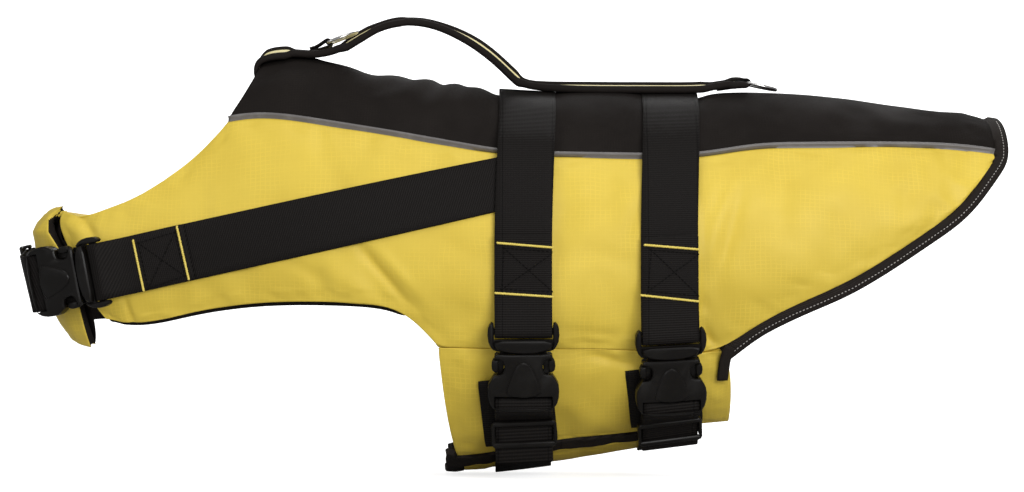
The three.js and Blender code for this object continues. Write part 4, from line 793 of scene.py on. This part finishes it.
def stitchTree():                             # small threads set end to end along a line, each a little off true
    tree = bpy.data.node_groups.new("stitches", "GeometryNodeTree")
    for socketName, kind, value in [
        ("Line", "NodeSocketGeometry", None), ("Stitch length", "NodeSocketFloat", 0.0024),
        ("Spacing", "NodeSocketFloat", 0.003), ("Thickness", "NodeSocketFloat", 0.0007),
        ("Unevenness", "NodeSocketFloat", 0.12), ("Seed", "NodeSocketInt", 3),
        ("Thread", "NodeSocketMaterial", None),
    ]:
        socket = tree.interface.new_socket(socketName, in_out="INPUT", socket_type=kind)
        if value is not None:
            socket.default_value = value
    tree.interface.new_socket("Stitches", in_out="OUTPUT", socket_type="NodeSocketGeometry")
    g = Nodes(tree)
    given, result = g.add("NodeGroupInput"), g.add("NodeGroupOutput")
    curve = g.add("GeometryNodeMeshToCurve", {"Mesh": given.outputs["Line"]})
    spaced = g.add("GeometryNodeResampleCurve", {"Curve": curve, "Length": given.outputs["Spacing"]}, mode="LENGTH")
    face = g.add("GeometryNodeInputNamedAttribute", {"Name": "face"}, data_type="FLOAT_VECTOR")
    tangent = g.add("GeometryNodeInputTangent")
    turned = g.add("FunctionNodeAxesToRotation", {"Primary Axis": face.outputs[0], "Secondary Axis": tangent},
                   primary_axis="Z", secondary_axis="X")
    uneven = given.outputs["Unevenness"]
    low = g.add("ShaderNodeVectorMath", {0: (-1.0, -1.0, -1.0), "Scale": uneven}, operation="SCALE")
    high = g.add("ShaderNodeVectorMath", {0: (1.0, 1.0, 1.0), "Scale": uneven}, operation="SCALE")
    wobble = g.add("FunctionNodeRandomValue", {"Min": low, "Max": high, "Seed": given.outputs["Seed"]},
                   data_type="FLOAT_VECTOR")
    tilt = g.add("FunctionNodeEulerToRotation", {0: wobble.outputs[0]})
    turn = g.add("FunctionNodeRotateRotation", {"Rotation": turned, "Rotate By": tilt}, rotation_space="LOCAL")
    thread = g.add("GeometryNodeMeshUVSphere", {"Segments": 6, "Rings": 4, "Radius": 0.5})
    size = g.add("ShaderNodeCombineXYZ", {"X": given.outputs["Stitch length"], "Y": given.outputs["Thickness"],
                                          "Z": given.outputs["Thickness"]})
    threads = g.add("GeometryNodeInstanceOnPoints", {"Points": spaced, "Instance": thread.outputs["Mesh"],
                                                     "Rotation": turn, "Scale": size})
    real = g.add("GeometryNodeRealizeInstances", {"Geometry": threads})
    smooth = g.add("GeometryNodeSetShadeSmooth", {"Geometry": real})
    painted = g.add("GeometryNodeSetMaterial", {"Geometry": smooth, "Material": given.outputs["Thread"]})
    g.put(result.inputs[0], painted)
    return tree


stitches = stitchTree()


def castRow(names, spots, start, direction, lift=0.0002):
    row = []
    for spot in spots:
        origin = start(spot)
        best = None
        for name in names:
            hit, normal, _, distance = surfaceOf(name).ray_cast(origin, direction)
            if hit is not None and (best is None or distance < best[2]):
                best = (hit, normal, distance)
        if best:
            normal = best[1] if best[1].dot(direction) < 0 else -best[1]
            row.append((best[0] + normal * lift, normal))
    return row


def sideRow(names, a, b, hand=-1, nearness=0.1, steps=40):
    (ax, az), (bx, bz) = fromPicture(*a, nearness), fromPicture(*b, nearness)
    spots = [(ax + (bx - ax) * i / steps, az + (bz - az) * i / steps) for i in range(steps + 1)]
    return castRow(names, spots, lambda s: Vector((s[0], hand * 0.3, s[1])), Vector((0, -hand, 0)))


def sew(name, rows, thread, slotName, **sizes):
    mesh = bpy.data.meshes.new(name)
    verts, edges, faces = [], [], []
    for row in rows:
        if len(row) < 2:
            continue
        edges += [(len(verts) + i, len(verts) + i + 1) for i in range(len(row) - 1)]
        verts += [spot for spot, _ in row]
        faces += [normal for _, normal in row]
    mesh.from_pydata(verts, edges, [])
    layer = mesh.attributes.new("face", "FLOAT_VECTOR", "POINT")
    layer.data.foreach_set("vector", np.array(faces).ravel())
    obj = bpy.data.objects.new(name, mesh)
    scene.collection.objects.link(obj)
    modifier = obj.modifiers.new("sewing", "NODES")
    modifier.node_group = stitches
    sockets = {item.name: item.identifier for item in stitches.interface.items_tree if item.item_type == "SOCKET"}
    modifier[sockets["Thread"]] = materials[thread]
    for key, value in sizes.items():
        modifier[sockets[key.replace("_", " ")]] = value
    baked(obj)
    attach(obj, "jacket")
    return obj


yellowRows = [
    sideRow(["girth_strap_front"], (498, 243), (558, 248)), sideRow(["girth_strap_front"], (496, 293), (558, 297)),
    sideRow(["girth_strap_rear"], (645, 245), (705, 250)), sideRow(["girth_strap_rear"], (640, 295), (704, 302)),
    sideRow(["chest_strap_near"], (131, 241), (142, 293)), sideRow(["chest_strap_near"], (175, 227), (187, 279)),
]
sew("strap_stitches", yellowRows, "yellowThread", "yellow_cloth", Stitch_length=0.0026, Spacing=0.0013,
    Thickness=0.0018, Unevenness=0.42)


def crossed(names, corners):                  # a sewn box with its two diagonals
    order = [(0, 1), (1, 2), (2, 3), (3, 0), (0, 2), (1, 3)]
    return [sideRow(names, corners[a], corners[b]) for a, b in order]


blackRows = crossed(["girth_strap_front"], [(504, 248), (554, 252), (553, 292), (502, 289)])
blackRows += crossed(["girth_strap_rear"], [(651, 250), (699, 254), (699, 296), (648, 291)])
blackRows += crossed(["chest_strap_near"], [(136, 243), (173, 232), (183, 276), (146, 289)])
sew("box_stitches", blackRows, "blackThread", "webbing", Stitch_length=0.0026, Spacing=0.0029, Thickness=0.0007)

tailLine = [
    (727, 356.6), (740, 346.3), (753, 336.3), (766, 328), (780, 320.8), (794, 314), (809, 307.7),
    (823.5, 301.5), (838, 295), (853, 288), (867, 279.8), (881.6, 271.3), (895.5, 262.4), (909, 253.4),
    (922.7, 244.3), (936, 235.3), (949, 226.6), (961.3, 217), (972.2, 206.5), (981.4, 195.6),
    (989.5, 185), (996.9, 175.1), (1004.1, 165.5), (1009.1, 156.1), (1010.1, 145.4), (1009.8, 137.1),
    (1009.1, 130), (1008.2, 124.1), (1006.7, 119.6),
]
tailRows = []
for hand in (-1, 1):
    for a, b in zip(tailLine, tailLine[1:]):
        row = sideRow(["tail_binding"], a, b, hand, 0.08, 8)
        tailRows.append(row)
joined = [sum(tailRows[:len(tailLine) - 1], []), sum(tailRows[len(tailLine) - 1:], [])]
sew("tail_stitches", joined, "greyThread", "grey_piping", Stitch_length=0.0017, Spacing=0.0026, Thickness=0.0007)
print("stitches done")

# ---- floor, light and surroundings

studio = {
    "floorGap": 0.0015, "top": 21.0, "front": 36.5, "left": 10.5, "world": 0.30, "glow": 0.75,
    "pale": (0.92, 0.92, 0.92), "returned": 0.45, "back": 18.0,
}
floorZ = cadBox[0][2] - studio["floorGap"]
sweep = [(-6.0, 0.0), (1.2, 0.0)] + [
    (1.2 + 1.0 * math.sin(math.radians(d)), 1.0 - 1.0 * math.cos(math.radians(d))) for d in range(9, 91, 9)
] + [(2.2, 6.0)]
floorMesh = bpy.data.meshes.new("floor")
floorMesh.from_pydata([(x, y, floorZ + z) for x in (-6.0, 6.0) for y, z in sweep], [],
                      [(i, i + len(sweep), i + 1 + len(sweep), i + 1) for i in range(len(sweep) - 1)])
floorMaterial, w, shader = startMaterial("paleFloor", studio["pale"], 0.9)
spots = w.add("ShaderNodeGroup", {"Scale": 3.0}, node_tree=wornSpots)
tint = w.add("ShaderNodeMix", {"Factor": spots.outputs["Mask"], "A": (*studio["pale"], 1),
                               "B": (*[c * 0.985 for c in studio["pale"]], 1)}, data_type="RGBA")
# The floor looks white but throws little light back up, so that the undersides stay in shade.
seen = w.add("ShaderNodeLightPath").outputs["Is Camera Ray"]
toned = w.add("ShaderNodeMix", {"Factor": seen, "A": (*[studio["returned"]] * 3, 1), "B": tint.outputs["Result"]},
              data_type="RGBA")
w.put(shader.inputs["Base Color"], toned.outputs["Result"])
shader.inputs["Emission Color"].default_value = (1, 1, 1, 1)
w.put(shader.inputs["Emission Strength"], w.math("MULTIPLY", seen, studio["glow"]))
# From behind and from below the backdrop is clear, so that every side of the jacket can be looked at.
behind = w.math("MULTIPLY", seen, w.add("ShaderNodeNewGeometry").outputs["Backfacing"])
cleared = w.add("ShaderNodeMixShader", {0: behind, 1: shader, 2: w.add("ShaderNodeBsdfTransparent")})
w.put(floorMaterial.node_tree.nodes["Material Output"].inputs["Surface"], cleared)
floorMesh.materials.append(floorMaterial)
floorMesh.polygons.foreach_set("use_smooth", [True] * len(floorMesh.polygons))
floor = bpy.data.objects.new("floor", floorMesh)
scene.collection.objects.link(floor)


def areaLight(name, power, size, place, target):
    data = bpy.data.lights.new(name, "AREA")
    data.energy = power
    data.shape = "RECTANGLE"
    data.size, data.size_y = size
    light = bpy.data.objects.new(name, data)
    light.location = place
    light.rotation_euler = (Vector(target) - Vector(place)).to_track_quat("-Z", "Y").to_euler()
    light.visible_camera = False
    scene.collection.objects.link(light)


areaLight("top", studio["top"], (2.0, 1.2), (0.3, -0.9, 2.4), (0.0, 0.0, -0.1))
areaLight("front", studio["front"], (1.5, 1.0), (1.1, -2.3, 0.55), (0.0, 0.0, -0.1))
areaLight("left", studio["left"], (1.4, 1.2), (-1.8, -1.7, 0.7), (0.0, 0.0, -0.1))
areaLight("back", studio["back"], (1.6, 1.0), (0.2, 1.8, 1.5), (0.0, 0.0, -0.1))
world = bpy.data.worlds.new("studio")
world.use_nodes = True
w = Nodes(world.node_tree)
background = world.node_tree.nodes["Background"]
background.inputs["Color"].default_value = (1, 1, 1, 1)
w.put(background.inputs["Strength"], w.smooth(w.add("ShaderNodeLightPath").outputs["Is Camera Ray"], 0.0, 1.0,
                                              studio["world"], 1.0))
scene.world = world
scene.view_settings.view_transform = "Standard"
print("studio done")
